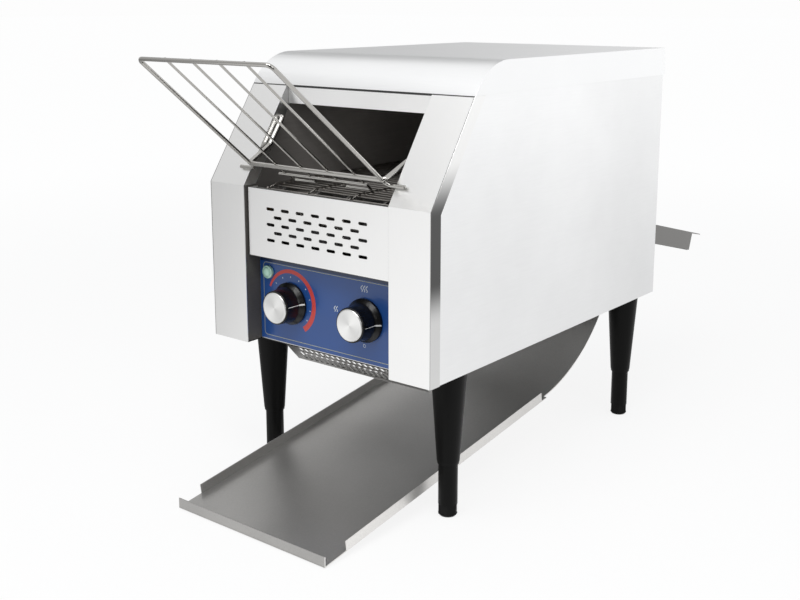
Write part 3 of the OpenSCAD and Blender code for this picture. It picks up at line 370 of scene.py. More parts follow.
def cheek_painted_light(tree, x, y, z):
    """The outer fold of a cheek is brushed along the fold and carries painted reflection, dark towards the
    chin and bright up the slope, with painted shade along its crease and in the seam under the lid.
    """
    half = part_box("cheek_right")[1][0]
    across = math_node(tree, "ABSOLUTE", x)
    crease_shade = blend(tree, above(tree, across, half - FOLD_SHADE_LINE), 1.0, 0.34)
    crease_shade = blend(tree, above(tree, z, CHEEK_SEAM_SHADOW), crease_shade, 0.12)
    low = spread(tree, z, (CHIN - 0.106, CHIN - 0.066), (0.80, 0.11))
    high = spread(tree, z, (CHIN - 0.006, SHOULDER), (0.0, 1.0))
    return blend(tree, above(tree, across, half - FOLD_FACE), crease_shade, blend(tree, high, low, 1.0))


def casing_shade_and_blotches(tree, x, y, z):
    """The side panels are painted a little darker towards the back, as painted shade, with soft blotches."""
    blotches = ranged(tree, noise(tree, coords_of(tree), 11.0, 4.0, 0.6), 0.95, 1.05)
    return product(tree, spread(tree, y, (0.0, 0.22), (1.0, 0.92)), blotches)


def guard_seam_shade(tree, x, y, z):
    """The guard panel's side and lower edges lie in seams and are painted dark, as painted shadow."""
    side = above(tree, math_node(tree, "ABSOLUTE", x), GUARD_SIDE)
    edge = math_node(tree, "MAXIMUM", side, math_node(tree, "LESS_THAN", z, GUARD_FOOT))
    return blend(tree, edge, 1.0, 0.09)


def tray_painted_light(tree, x, y, z):
    """The tray is painted darker in front and lighter to the back, as painted light, and its flanges are
    painted bright, as painted highlights.
    """
    rim = above(tree, math_node(tree, "ABSOLUTE", x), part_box("toast_tray")[1][0] - TRAY_RIM)
    return blend(tree, rim, spread(tree, y, (-0.22, 0.16), (0.76, 1.40)), 1.40)


def seam_shadow(height, dark):
    """A painted shadow in a seam, above a height."""
    return lambda tree, x, y, z: blend(tree, above(tree, z, height), 1.0, dark)


def depth_shade(reach, result):
    """Painted shade and light that change from the front to the back."""
    return lambda tree, x, y, z: spread(tree, y, reach, result)


MATERIALS = {}


def finish_materials(steels, film):
    """Every finish of the toaster, by the record's material slot or the piece's own name."""
    front, casing, tray = tuple(steels.front), tuple(steels.casing), tuple(steels.tray)
    front_grain = (0.30, "z", 50.0, 0.04, 0.04, 0.03)
    zinc_sheet = ((0.66, 0.67, 0.68), 0.42, "y", 30.0, 0.12, 0.05, 0.12, 6.0)
    MATERIALS.update({
        "bright_steel": steel("Front steel", front, *front_grain),
        # The cheeks' outer folds carry painted reflection, with painted shade along the crease and in the
        # seam under the lid
        "cheek_steel": toned(steel("Cheek steel", front, *front_grain), cheek_painted_light),
        # The side panels carry painted shade, a little darker towards the back, with random soft blotches
        "shell_steel": toned(
            steel("Casing steel", scaled(casing, 1.02), 0.30, "y", 40.0, 0.05, 0.05, 0.06), casing_shade_and_blotches),
        "lid_steel": steel("Lid steel", scaled(casing, 1.01), 0.32, "x", 40.0, 0.04, 0.05, 0.04),
        # The visor carries a painted shadow in the seam under the lid
        "visor_steel": toned(
            steel("Visor steel", scaled(front, 1.08), 0.30, "x", 50.0, 0.02, 0.04, 0.02),
            seam_shadow(VISOR_SEAM_SHADOW, 0.07)),
        # The guard panel's side and lower edges carry painted shadow
        "panel_front": toned(steel("Guard panel steel", front, *front_grain), guard_seam_shade),
        # The base sheet carries painted shade: nearly black at the front, full colour further back
        "base_steel": toned(steel("Base sheet", *zinc_sheet), depth_shade((-0.19, -0.10), (0.05, 1.0))),
        # The rear guard is the tray steel made darker, as painted shade
        "guard_steel": steel("Rear guard steel in painted shade", scaled(tray, 0.42), 0.40, "y", 70.0, 0.10, 0.08, 0.08),
        "galvanised": steel("Zinc-coated sheet", *zinc_sheet),
        # The tray carries painted light: darker in front, lighter to the back, with painted highlights on its
        # flanges
        "tray_steel": toned(
            steel("Tray steel", tray, 0.36, "y", 420.0, 0.26, 0.12, 0.10, 2.0, 0.8), tray_painted_light),
        "panel_steel": steel("Panel steel", (0.62, 0.62, 0.62), 0.32, "x"),
        "reflector": steel("Reflector sheet", (0.60, 0.59, 0.57), 0.25, "x"),
        # The liner carries painted light and shade: darker at the front, lighter deeper in
        "dark_liner": toned(
            steel("Heat-darkened sheet with painted shade", (0.30, 0.280, 0.262), 0.45, "y", 30.0, 0.25, 0.05, 0.25, metal=0.0),
            depth_shade((-0.20, -0.03), (0.30, 1.60))),
        # The film carries a painted shadow in the seam under the guard panel
        "label_blue": toned(
            moulded("Printed film", tuple(film.film), 0.32, 0.04, 1800.0, 0.25, 0.05),
            seam_shadow(FILM_SEAM_SHADOW, 0.30)),
        "lamp_green": moulded("Lamp lens", (0.40, 0.70, 0.52), 0.12, 1.0, 520.0, 1.0, 0.6),
        "quartz": moulded("Heating tube", (0.34, 0.30, 0.27), 0.30, 0.1, 400.0, 0.2, 0.2),
        "ceramic": moulded("Glazed ceramic", (0.72, 0.69, 0.61), 0.30, 0.05, 600.0, 0.4, 0.06),
        "belt_wire": steel("Drawn wire", (0.34, 0.32, 0.30), 0.28, "x", 90.0, 0.15, 0.05, 0.1),
        "bronze": steel("Sintered bronze", (0.45, 0.30, 0.15), 0.42, "x", 200.0, 0.1, 0.05, 0.1, 1.0),
        "ground_steel": steel("Ground bar", (0.60, 0.60, 0.60), 0.22, "x"),
        "machined_steel": steel("Oiled steel", (0.26, 0.25, 0.24), 0.38, "z", 90.0, 0.1, 0.05, 0.1, 4.0),
        "motor_body": steel("Cast housing", (0.50, 0.51, 0.52), 0.45, "x", 220.0, 0.08, 0.10, 0.08, 1.0),
        "black_plastic": moulded("Black plastic", (0.022, 0.022, 0.023), 0.45, 0.2, 1200.0),
        "ivory_plastic": moulded("Ivory plastic", (0.60, 0.57, 0.46), 0.42, 0.1, 900.0),
        "knob_black": moulded("Knob plastic", (0.0032, 0.0032, 0.0032), 0.27, 0.03, 1500.0, 0.0, 0.2, 0.35),
        "rack_chrome": steel("Chromed rod", (0.44, 0.43, 0.41), 0.13, "x", 60.0, 0.04, 0.0, 0.04, 1.0),
        "leg_black": moulded("Leg plastic", (0.0028, 0.0028, 0.0027), 0.40, 0.25, 700.0, 0.0, 0.25, 0.12),
        "zinc": steel("Zinc-plated fastener", (0.52, 0.53, 0.55), 0.25, "z", 200.0, 0.1, 0.05, 0.1, 1.0),
        "speed_knob_cap": spun("Speed cap", (0.80, 0.80, 0.79), at(-KNOB_X, 0.0, KNOB_Z)),
        "selector_knob_cap": spun("Selector cap", (0.80, 0.80, 0.79), at(KNOB_X, 0.0, KNOB_Z)),
        "ink_red": ink("Red ink", tuple(film.sweep), 0.35),
        "ink_white": ink("White ink", (0.62, 0.66, 0.70), 0.35),
        "ink_cream": ink("Cream ink", (0.42, 0.42, 0.30), 0.35),
        "pointer_white": ink("Pointer ink", (0.72, 0.72, 0.70), 0.30),
    })


# -------------------- mesh tools


# Edges that turn more than this stay sharp in the shading and are rounded in the solids' shapes
SHARP = math.radians(32.0)


def smooth_by_angle(mesh):
    """Smooth shading, with the sharper edges kept."""
    work = bmesh.new()
    work.from_mesh(mesh)
    for face in work.faces:
        face.smooth = True
    for edge in work.edges:
        edge.smooth = len(edge.link_faces) == 2 and edge.calc_face_angle(math.pi) < SHARP
    work.to_mesh(mesh)
    work.free()


def added(name, data):
    """Adds an object with its data to the scene."""
    thing = bpy.data.objects.new(name, data)
    bpy.context.scene.collection.objects.link(thing)
    return thing


def new_piece(name, mesh, material, body, slot, *nodes):
    """Adds a finished mesh as a piece that rides on a body and stands for the named nodes."""
    mesh.materials.clear()
    mesh.materials.append(MATERIALS[material])
    piece = added(name, mesh)
    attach(piece, body)
    if nodes:
        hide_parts(*nodes)
    return piece


def merged_copy(node, name):
    """A joined-up copy of a node's mesh, with its flat areas made whole."""
    mesh = frame["nodes"][node].data.copy()
    mesh.name = name
    work = bmesh.new()
    work.from_mesh(mesh)
    bmesh.ops.remove_doubles(work, verts=work.verts, dist=2e-6)
    bmesh.ops.dissolve_limit(work, angle_limit=math.radians(0.6), verts=work.verts, edges=work.edges)
    work.to_mesh(mesh)
    work.free()
    return mesh


def settle(piece):
    """Turns a piece's modifiers into its own mesh."""
    bpy.context.view_layer.update()
    result = bpy.data.meshes.new_from_object(piece.evaluated_get(bpy.context.evaluated_depsgraph_get()))
    piece.modifiers.clear()
    piece.data = result


def dressed(node, material, width):
    """A node's own shape with its edges rounded a little."""
    name = node + "_dressed"
    mesh = merged_copy(node, name)
    if node == "control_label":
        for vertex in mesh.vertices:
            if vertex.co.z < LABEL[2] * MM + 0.001:
                vertex.co.z -= FILM_DROP * MM
    piece = new_piece(name, mesh, material, BODIES[node], SLOTS[node], node)
    bevel = piece.modifiers.new("Rounded edges", "BEVEL")
    bevel.width = width
    bevel.segments = 2
    bevel.limit_method = "ANGLE"
    bevel.angle_limit = SHARP
    settle(piece)
    smooth_by_angle(piece.data)
    piece.modifiers.new("Even shading", "WEIGHTED_NORMAL").keep_sharp = True
    settle(piece)
    piece.data.name = name


def join_into(target, parts):
    """Joins several bmeshes into one mesh."""
    whole = bmesh.new()
    for part in parts:
        scratch = bpy.data.meshes.new("scratch")
        part.to_mesh(scratch)
        part.free()
        whole.from_mesh(scratch)
        bpy.data.meshes.remove(scratch)
    mesh = bpy.data.meshes.new(target)
    whole.to_mesh(mesh)
    whole.free()
    smooth_by_angle(mesh)
    return mesh


def band(work, a, b):
    """Adds the faces between two rings of vertices."""
    for k, corner in enumerate(a):
        after = (k + 1) % len(a)
        work.faces.new((corner, a[after], b[after], b[k]))


def skinned(rows, closed=False):
    """A solid skin over rows of points, capped at its ends or closed round its path."""
    work = bmesh.new()
    rows = [[work.verts.new(point) for point in row] for row in rows]
    for a, b in zip(rows, rows[1:] + rows[:1] if closed else rows[1:]):
        band(work, a, b)
    if not closed:
        work.faces.new(rows[0][::-1])
        work.faces.new(rows[-1])
    bmesh.ops.recalc_face_normals(work, faces=work.faces)
    return work


def rounded_path(points, radius, steps=6):
    """A line through points whose corners are turned into arcs."""
    path = [points[0]]
    for before, corner, after in zip(points, points[1:], points[2:]):
        back = (before - corner).normalized()
        ahead = (after - corner).normalized()
        half = back.angle(ahead) / 2.0
        if half > math.radians(89.0):
            path.append(corner)
            continue
        reach = min(radius / math.tan(half), 0.45 * (before - corner).length, 0.45 * (after - corner).length)
        arc_radius = reach * math.tan(half)
        centre = corner + (back + ahead).normalized() * (arc_radius / math.sin(half))
        first = corner + back * reach - centre
        last = corner + ahead * reach - centre
        for step in range(steps + 1):
            path.append(centre + first.slerp(last, step / steps).normalized() * arc_radius)
    path.append(points[-1])
    return path


# A rod's rounded end: its last ring's size, and how far the one before it stands back, as shares of
# the rod's radius
TIP_SIZE, TIP_BACK = 0.65, 0.35


def tube(path, radius, sides=12):
    """A solid rod along a path, with slightly rounded ends."""
    turns = [2.0 * math.pi * k / sides for k in range(sides)]
    rings, side = [], None
    for index, point in enumerate(path):
        way = (path[min(index + 1, len(path) - 1)] - path[max(index - 1, 0)]).normalized()
        side = (way.orthogonal() if side is None else side - way * side.dot(way)).normalized()
        up = way.cross(side).normalized()
        rings.append([point + (side * math.cos(turn) + up * math.sin(turn)) * radius for turn in turns])
    for end, inner in ((0, 1), (-1, -2)):
        middle, way = path[end], (path[end] - path[inner]).normalized()
        tip = [middle + (p - middle) * TIP_SIZE for p in rings[end]]
        rings[end] = [p - way * radius * TIP_BACK for p in rings[end]]
        rings.insert(0 if end == 0 else len(rings), tip)
    return skinned(rings)


def blob(place, radius):
    """A small round weld."""
    work = bmesh.new()
    bmesh.ops.create_uvsphere(work, u_segments=10, v_segments=6, radius=radius)
    bmesh.ops.translate(work, vec=place, verts=work.verts)
    return work


def arc(x, z, radius, begin, end, steps):
    """The (x, z) points of an arc, from one angle to another in degrees."""
    turns = [math.radians(begin + (end - begin) * step / steps) for step in range(steps + 1)]
    return [(x + radius * math.cos(turn), z + radius * math.sin(turn)) for turn in turns]


def print_line(points, width, closed=False):
    """A printed line on the film, of an even or changing width, along (x, z) points."""
    count = len(points)
    widths = width if isinstance(width, list) else [width] * count
    rows = []
    for k, (x, z) in enumerate(points):
        x0, z0 = points[k - 1] if k or closed else points[k]
        x1, z1 = points[(k + 1) % count] if k < count - 1 or closed else points[k]
        reach = widths[k] / 2.0 / math.hypot(x1 - x0, z1 - z0)
        aside, up = (z0 - z1) * reach, (x1 - x0) * reach
        rows.append([at(x + s * aside, LABEL_Y - t * PRINT_THICKNESS, z + s * up)
                     for s, t in ((1, 1), (-1, 1), (-1, 0), (1, 0))])
    return skinned(rows, closed)


# -------------------- repeats by Geometry Nodes


@functools.cache
def repeat_tree():
    """A node tree that puts two kinds of piece in turn at the points of a closed path, each
    turned towards the next point."""
    tree, given = node_group(
        "Pieces along a path",
        [("Path", "Geometry", None), ("First piece", "Object", None), ("Second piece", "Object", None),
         ("Points", "Int", None), ("Size", "Float", 1.0), ("Turn along path", "Bool", True),
         ("Finish", "Material", None)], [("Result", "Geometry")], "GeometryNodeTree")
    index = put(tree, "GeometryNodeInputIndex").outputs[0]
    place = put(tree, "GeometryNodeInputPosition").outputs[0]
    following = math_node(tree, "MODULO", math_node(tree, "ADD", index, 1.0), given["Points"])
    sample = put(tree, "GeometryNodeSampleIndex",
                 {"Geometry": given["Path"], "Value": place, "Index": following}, data_type="FLOAT_VECTOR")
    way = vector_math(tree, "SUBTRACT", sample.outputs[0], place)
    turn = put(tree, "FunctionNodeAlignRotationToVector", {"Vector": way}, axis="Y", pivot_axis="X")
    choose = put(tree, "GeometryNodeSwitch", {"Switch": given["Turn along path"], "True": turn.outputs[0]},
                 input_type="ROTATION")
    kinds = put(tree, "GeometryNodeGeometryToInstance")
    for socket in ("Second piece", "First piece"):
        info = put(tree, "GeometryNodeObjectInfo", {"Object": given[socket]})
        tree.links.new(info.outputs["Geometry"], kinds.inputs[0])
    pieces = put(tree, "GeometryNodeInstanceOnPoints", {
        "Points": given["Path"], "Instance": kinds.outputs[0], "Pick Instance": True,
        "Instance Index": math_node(tree, "MODULO", index, 2.0), "Rotation": choose.outputs[0],
        "Scale": given["Size"]})
    real = put(tree, "GeometryNodeRealizeInstances", (pieces.outputs[0],))
    painted = put(tree, "GeometryNodeSetMaterial", {"Geometry": real.outputs[0], "Material": given["Finish"]})
    put(tree, "NodeGroupOutput", (painted.outputs[0],))
    return tree


def repeated(name, places, first, second, slot, node, turn=True):
    """Fills a path with two pieces in turn and keeps the result as the plain mesh of a node."""
    tree = repeat_tree()
    path = bpy.data.meshes.new(name + "_path")
    path.from_pydata(places, [], [])
    scratch = [added(name + tag, mesh)
               for tag, mesh in (("_carrier", path), ("_first", first), ("_second", second))]
    carrier = scratch[0]
    modifier = carrier.modifiers.new("Repeat", "NODES")
    modifier.node_group = tree
    values = {"First piece": scratch[1], "Second piece": scratch[2], "Points": len(places),
              "Turn along path": turn, "Finish": MATERIALS[slot]}
    for item in tree.interface.items_tree:
        if item.in_out == "INPUT" and item.name in values:
            modifier[item.identifier] = values[item.name]
    carrier.update_tag()
    settle(carrier)
    mesh = carrier.data
    mesh.name = name
    for thing in scratch:
        bpy.data.objects.remove(thing)
    smooth_by_angle(mesh)
    new_piece(name, mesh, slot, BODIES[node], slot, node)


# -------------------- sheets, print and knobs


# Nodes whose finish differs from their slot's, nodes with finer edges than the fold radius (metres),
# and nodes that other pieces stand for
OWN_FINISH = {
    "lid": "lid_steel", "guard_panel": "panel_front", "base_pan": "base_steel", "visor": "visor_steel",
    "rear_guard": "guard_steel", "cheek_left": "cheek_steel", "cheek_right": "cheek_steel",
    "speed_knob_cap": "speed_knob_cap", "selector_knob_cap": "selector_knob_cap"}
FINE_EDGES = {
    "control_label": 0.00008, "speed_knob_cap": 0.0003, "selector_knob_cap": 0.0003,
    "speed_knob": 0.0004, "selector_knob": 0.0004, "guard_panel": 0.0003,
    "bottom_grille": 0.0002, "pilot_lamp": 0.0003, "shaft_bushes": 0.0003}
MADE_ANEW = {"wire_belt", "load_rack", "panel_screws", "drive_chain"}


class ToasterSheets(bpy.types.Operator):
    """Gives every sheet, casting and moulding its finish, with its edges and folds rounded"""

    bl_idname = "toaster.sheets"
    bl_label = "Sheets and mouldings"

    def execute(self, context):
        scene = context.scene
        finish_materials(scene.toaster_steel, scene.toaster_label)
        for node in sorted(set(frame["nodes"]) - MADE_ANEW):
            dressed(node, OWN_FINISH.get(node, SLOTS[node]),
                    FINE_EDGES.get(node, scene.toaster_steel.fold))
        return {"FINISHED"}


# The film's border, and the sweep and dots round the speed knob, in millimetres and degrees
BORDER_INSET, BORDER_TOP, BORDER_CORNER, BORDER_WIDTH = 4.2, 8.8, 4.0, 0.55
SWEEP_LIFT, SWEEP_START, SWEEP_TURNS, SWEEP_STEPS = 1.7, 2.0, (158.0, -56.0), 56
DOT_RADIUS, DOT_LENGTH, DOT_LIFT, DOT_TURNS = 26.9, 1.5, 0.8, range(140, -36, -25)
MARK_WIDTH = 0.8
# The heat signs: x, z, number of waves and size, and a wave's distance to the next, reach, turn and
# height at size 1. The ring under the right knob: x, z, radius and width
HEAT_SIGNS = ((48.5, 229.0, 3, 1.0), (11.5, 202.7, 2, 0.9), (87.0, 199.8, 1, 0.9))
WAVE_STEP, WAVE_REACH, WAVE_TURN, WAVE_HEIGHT, WAVE_POINTS = 3.1, 0.95, 2.6 * math.pi, 6.6, 12
RING_SIGN, RING_WIDTH = (48.5, 171.3, 1.5), 0.45


class ToasterLabelPrint(bpy.types.Operator):
    """Prints the film: its border, the sweep and dots round the speed knob, and the heat signs"""

    bl_idname = "toaster.label_print"
    bl_label = "Film print"

    def execute(self, context):
        label = context.scene.toaster_label
        left, right = LABEL[0] + BORDER_INSET + BORDER_CORNER, LABEL[1] - BORDER_INSET - BORDER_CORNER
        low = LABEL[2] - FILM_DROP + BORDER_INSET + BORDER_CORNER
        high = LABEL[3] - BORDER_TOP - BORDER_CORNER
        border = []
        for x, z, start in ((right, high, 0.0), (left, high, 90.0), (left, low, 180.0), (right, low, 270.0)):
            border += arc(x, z, BORDER_CORNER, start, start + 90.0, 6)
        self.printed("film_border", [print_line(border, BORDER_WIDTH, True)], "ink_cream")

        sweep = arc(-KNOB_X, KNOB_Z + SWEEP_LIFT, label.sweep_radius / MM, *SWEEP_TURNS, SWEEP_STEPS)
        growth = label.sweep_end / MM - SWEEP_START
        widths = [SWEEP_START + growth * min(1.0, step / SWEEP_STEPS * 1.15) ** 0.55
                  for step in range(SWEEP_STEPS + 1)]
        self.printed("film_sweep", [print_line(sweep, widths)], "ink_red")

        marks = []
        for degrees in DOT_TURNS:
            ends = [arc(-KNOB_X, KNOB_Z + DOT_LIFT, DOT_RADIUS + out, degrees, degrees, 1)[0]
                    for out in (-DOT_LENGTH / 2.0, DOT_LENGTH / 2.0)]
            marks.append(print_line(ends, MARK_WIDTH))
        for x, z, waves, size in HEAT_SIGNS:
            for wave in range(waves):
                middle = x + (wave - (waves - 1) / 2.0) * WAVE_STEP * size
                shares = [step / WAVE_POINTS for step in range(WAVE_POINTS + 1)]
                marks.append(print_line([(middle + WAVE_REACH * size * math.sin(share * WAVE_TURN),
                                          z + (share - 0.5) * WAVE_HEIGHT * size) for share in shares],
                                        MARK_WIDTH))
        marks.append(print_line(arc(*RING_SIGN, 0.0, 340.0, 17), RING_WIDTH, True))
        self.printed("film_marks", marks, "ink_white")
        return {"FINISHED"}

    def printed(self, name, lines, colour):
        """Adds printed lines as a piece on the film."""
        new_piece(name, join_into(name, lines), colour, BODIES["control_label"], "label_blue")


# A pointer's radii, heights over the knob's foot and half widths, first on the skirt and then on the
# grip, and how far it stands out of and reaches into the knob
POINTER = ((22.12, 2.45, 0.75), (19.2, 5.95, 0.75), (18.42, 8.0, 0.26), (17.95, 21.0, 0.26))
POINTER_OUT, POINTER_IN = 0.14, -1.2


class ToasterPointers(bpy.types.Operator):
    """Lays the white pointer line along each knob's grip and skirt"""

    bl_idname = "toaster.pointers"
    bl_label = "Knob pointers"

    def execute(self, context):
        for name, x, node, degrees in (("speed_pointer", -KNOB_X, "speed_knob", 8.0),
                                       ("selector_pointer", KNOB_X, "selector_knob", -2.0)):
            cos, sin = math.cos(math.radians(degrees)), math.sin(math.radians(degrees))
            rows = []
            for radius, depth, half in POINTER:
                rows.append([at(x + (radius + dr) * cos - dz * sin, KNOB_BACK - depth,
                                KNOB_Z + (radius + dr) * sin + dz * cos)
                             for dr, dz in ((POINTER_OUT, -half), (POINTER_OUT, half),
                                            (POINTER_IN, half), (POINTER_IN, -half))])
            new_piece(name, join_into(name, [skinned(rows)]), "pointer_white", BODIES[node], "knob_black")
        return {"FINISHED"}


# -------------------- load rack


# The rack's plane (its slope and its lower bar's y and z), its length and half widths, the arms' bends
# and pegs, and the radii of its rods, in millimetres
RACK_SLOPE = math.radians(38.7)
RACK_BAR = (2.0, 341.4)
RACK_LEN, RACK_HALF, RACK_TAPER = 176.0, 86.0, 3.0
BAR_HALF, ARM_HALF, PEG_OUT, FOOT_HALF = 88.0, 91.2, 97.7, 107.7
ELBOW = (35.5, 357.1)
PIVOT = (55.0569, 384.0)
FRAME_R, BAR_R, WIRE_R, WELD_R, STOP_R, HOOK_R = 2.0, 2.5, 1.2, 1.75, 1.44, 1.4
# The wires lie on the frame's upper side; their ends, the welds, the stop bar and the hooks by their
# place up the slope
WIRE_UNDER, WIRE_ENDS, TOP_WELD = -2.72, (-16.3, RACK_LEN - 1.15), RACK_LEN - 1.55
STOP_UP, STOP_UNDER, STOP_HALF, HOOK_UP = -15.3, -0.8, 58.05, -24.5
HOOKS = ((-43.0, -12.9), (24.94, 56.76))
# The cheeks' slope, on which the frame's feet rest: its height at the front plane, its angle, and how
# far the feet's rod stands off it
CHEEK_SLOPE_Z, CHEEK_SLOPE, FOOT_GAP = 318.0, math.atan2(98.5, 66.0), 0.3


def rack_at(x, up, under):
    """A point of the rack, from its distance across, up its slope and under its plane."""
    return at(x, RACK_BAR[0] - up * math.cos(RACK_SLOPE) - under * math.sin(RACK_SLOPE),
              RACK_BAR[1] + up * math.sin(RACK_SLOPE) - under * math.cos(RACK_SLOPE))


def above_cheeks(point):
    """How far a point stands off the cheeks' slope, in millimetres."""
    return (math.cos(CHEEK_SLOPE) * (point.z / MM - CHEEK_SLOPE_Z)
            - math.sin(CHEEK_SLOPE) * (point.y / MM - CABINET_FRONT))


class ToasterLoadRack(bpy.types.Operator):
    """Bends and welds the load rack from its rods"""

    bl_idname = "toaster.load_rack"
    bl_label = "Load rack"

    def execute(self, context):
        bend = context.scene.toaster_wire.rack_bend
        rest, below = above_cheeks(rack_at(0, 0, 0)), above_cheeks(rack_at(0, -1, 0))
        foot = -(rest - FRAME_R - FOOT_GAP) / (rest - below)
        top = RACK_HALF - RACK_TAPER
        outline = ((-FOOT_HALF, foot), (-RACK_HALF, foot), (-top, RACK_LEN),
                   (top, RACK_LEN), (RACK_HALF, foot), (FOOT_HALF, foot))
        parts = [tube(rounded_path([rack_at(x, up, 0) for x, up in outline], bend), FRAME_R * MM, 14)]
        left, right = [[at(side * PEG_OUT, *PIVOT), at(side * ARM_HALF, *PIVOT),
                        at(side * ARM_HALF, *ELBOW), rack_at(side * BAR_HALF, 0, 0)] for side in (-1, 1)]
        parts.append(tube(rounded_path(left + right[::-1], bend * 0.8), BAR_R * MM, 14))
        for share in (-0.6, -0.2, 0.2, 0.6):
            parts.append(tube([rack_at(share * RACK_HALF, WIRE_ENDS[0], WIRE_UNDER),
                               rack_at(share * top, WIRE_ENDS[1], WIRE_UNDER)], WIRE_R * MM))
            for x, up in ((share * RACK_HALF, 0.0), (share * top, TOP_WELD)):
                parts.append(blob(rack_at(x, up, WIRE_UNDER * 0.55), WELD_R * MM))
        parts.append(tube([rack_at(x, STOP_UP, STOP_UNDER) for x in (-STOP_HALF, STOP_HALF)], STOP_R * MM))
        for x0, x1 in HOOKS:
            hook = [rack_at(x, up, STOP_UNDER)
                    for x, up in ((x0, STOP_UP), (x0, HOOK_UP), (x1, HOOK_UP), (x1, STOP_UP))]
            parts.append(tube(rounded_path(hook, 0.0015, 4), HOOK_R * MM))
        new_piece("load_rack_wirework", join_into("load_rack_wirework", parts), "rack_chrome",
                  BODIES["load_rack"], "rack_chrome", "load_rack")
        return {"FINISHED"}


# -------------------- belt, chain and screws


def belt_places():
    """Where the belt's cross wires lie, in order round the loop."""
    half = BELT_TEETH // 2
    back_y = FRONT_SHAFT_Y + BELT_RUN * BELT_PITCH
    places = []
    for side, begin, end in ((1, FRONT_SHAFT_Y, back_y), (-1, back_y, FRONT_SHAFT_Y)):
        for k in range(BELT_RUN):
            places.append(at(0.0, begin + side * k * BELT_PITCH, SHAFT_Z + side * BELT_R))
        for k in range(half):
            turn = math.pi * k / half
            reach = side * BELT_R
            places.append(at(0.0, end + reach * math.sin(turn), SHAFT_Z + reach * math.cos(turn)))
    return places


# A strand of the belt in metres: its half length, the links' number, distance, stagger and radius,
# and how far a link's middle stands off the face of the wire in it
STRAND_HALF, LINKS, LINK_STEP, LINK_STAGGER, LINK_R, LINK_OFF = 0.088, 4, 0.056, 0.0012, 0.00075, 0.00095


class ToasterWireBelt(bpy.types.Operator):
    """Strings the wire belt from linked strands along its loop"""

    bl_idname = "toaster.wire_belt"
    bl_label = "Wire belt"

    def execute(self, context):
        radius = context.scene.toaster_wire.belt_wire / 2.0
        ring = radius + LINK_OFF
        strands = []
        for parity in (-1, 1):
            parts = [tube([Vector((x, 0.0, 0.0)) for x in (-STRAND_HALF, STRAND_HALF)], radius, 8)]
            for k in range(LINKS):
                x = (k - (LINKS - 1) / 2.0) * LINK_STEP + parity * LINK_STAGGER
                side = [(0.0, 0.0), (0.0003, ring * 0.9), (0.0015, ring)]
                side += arc(BELT_PITCH * MM, 0.0, ring, 90.0, -90.0, 8)
                parts.append(tube([Vector((x, y, z)) for y, z in side], LINK_R, 6))
            strands.append(join_into("strand", parts))
        repeated("wire_belt_strands", belt_places(), *strands, "belt_wire", "wire_belt")
        return {"FINISHED"}


# The chain in millimetres, as the solids are drawn from: its pitch, the wheel's and the pinion's teeth
# and the links, how far its middle stands off the pitch circles, how steeply the pinion lies below the
# wheel, and its plane's distance from the middle. The links that are drawn fill that path
CHAIN_PITCH, WHEEL_TEETH, PINION_TEETH, CHAIN_LINKS = 6.35, 18, 9, 48
CHAIN_OFF, CHAIN_FALL, CHAIN_X, DRAWN_LINKS = 3.4, math.radians(47.0), 125.7, 50
# A link in metres: half the gap between its plates, inner and outer, the plates' end radius and
# thickness, and the half length, radius and sides of its pin and its roller
INNER_GAP, OUTER_GAP, PLATE_R, PLATE_THICKNESS = 0.0012, 0.0018, 0.00105, 0.0004
PIN_AND_ROLLER = ((0.0024, 0.0005, 8), (0.0011, 0.0009, 10))


def chain_places():
    """Evenly spaced points on the chain's closed path round both wheels, and the length between two."""
    big, small = [CHAIN_PITCH / 2.0 / math.sin(math.pi / teeth) + CHAIN_OFF
                  for teeth in (WHEEL_TEETH, PINION_TEETH)]
    free = CHAIN_LINKS - (WHEEL_TEETH + PINION_TEETH) / 2.0
    swing = (WHEEL_TEETH - PINION_TEETH) / 2.0 / math.pi
    apart = CHAIN_PITCH / 4.0 * (free + math.sqrt(free ** 2 - 8.0 * swing ** 2))
    side = math.pi / 2.0 - math.asin((big - small) / apart)
    begin, over = math.degrees(side - CHAIN_FALL), math.degrees(-side - CHAIN_FALL)
    line = arc(0.0, 0.0, big, begin, over + 360.0, 96)
    line += arc(apart * math.cos(CHAIN_FALL), -apart * math.sin(CHAIN_FALL), small, over, begin, 60)
    line.append(line[0])
    lengths = [math.dist(a, b) for a, b in zip(line, line[1:])]
    step = sum(lengths) / DRAWN_LINKS
    places, walked, index = [], 0.0, 0
    for k in range(DRAWN_LINKS):
        while walked + lengths[index] < k * step:
            walked += lengths[index]
            index += 1
        share = (k * step - walked) / lengths[index]
        y, z = [a + (b - a) * share for a, b in zip(line[index], line[index + 1])]
        places.append(at(CHAIN_X, FRONT_SHAFT_Y + y, SHAFT_Z + z))
    return places, step * MM


def link_mesh(half_gap, pitch, name):
    """A link: its two plates from one pin to the next, with a pin and a roller."""
    outline = arc(0.0, 0.0, PLATE_R, 90.0, 270.0, 8) + arc(pitch, 0.0, PLATE_R, -90.0, 90.0, 8)
    parts = [skinned([[(side * x, y, z) for y, z in outline] for x in (half_gap, half_gap + PLATE_THICKNESS)])
             for side in (-1, 1)]
    for half, radius, sides in PIN_AND_ROLLER:
        parts.append(tube([Vector((-half, 0, 0)), Vector((half, 0, 0))], radius, sides))
    return join_into(name, parts)


class ToasterDriveChain(bpy.types.Operator):
    """Runs the roller chain round the pinion and the chain wheel"""

    bl_idname = "toaster.drive_chain"
    bl_label = "Drive chain"

    def execute(self, context):
        places, pitch = chain_places()
        repeated("drive_chain_links", places, link_mesh(INNER_GAP, pitch, "inner_link"),
                 link_mesh(OUTER_GAP, pitch, "outer_link"), "machined_steel", "drive_chain")
        return {"FINISHED"}


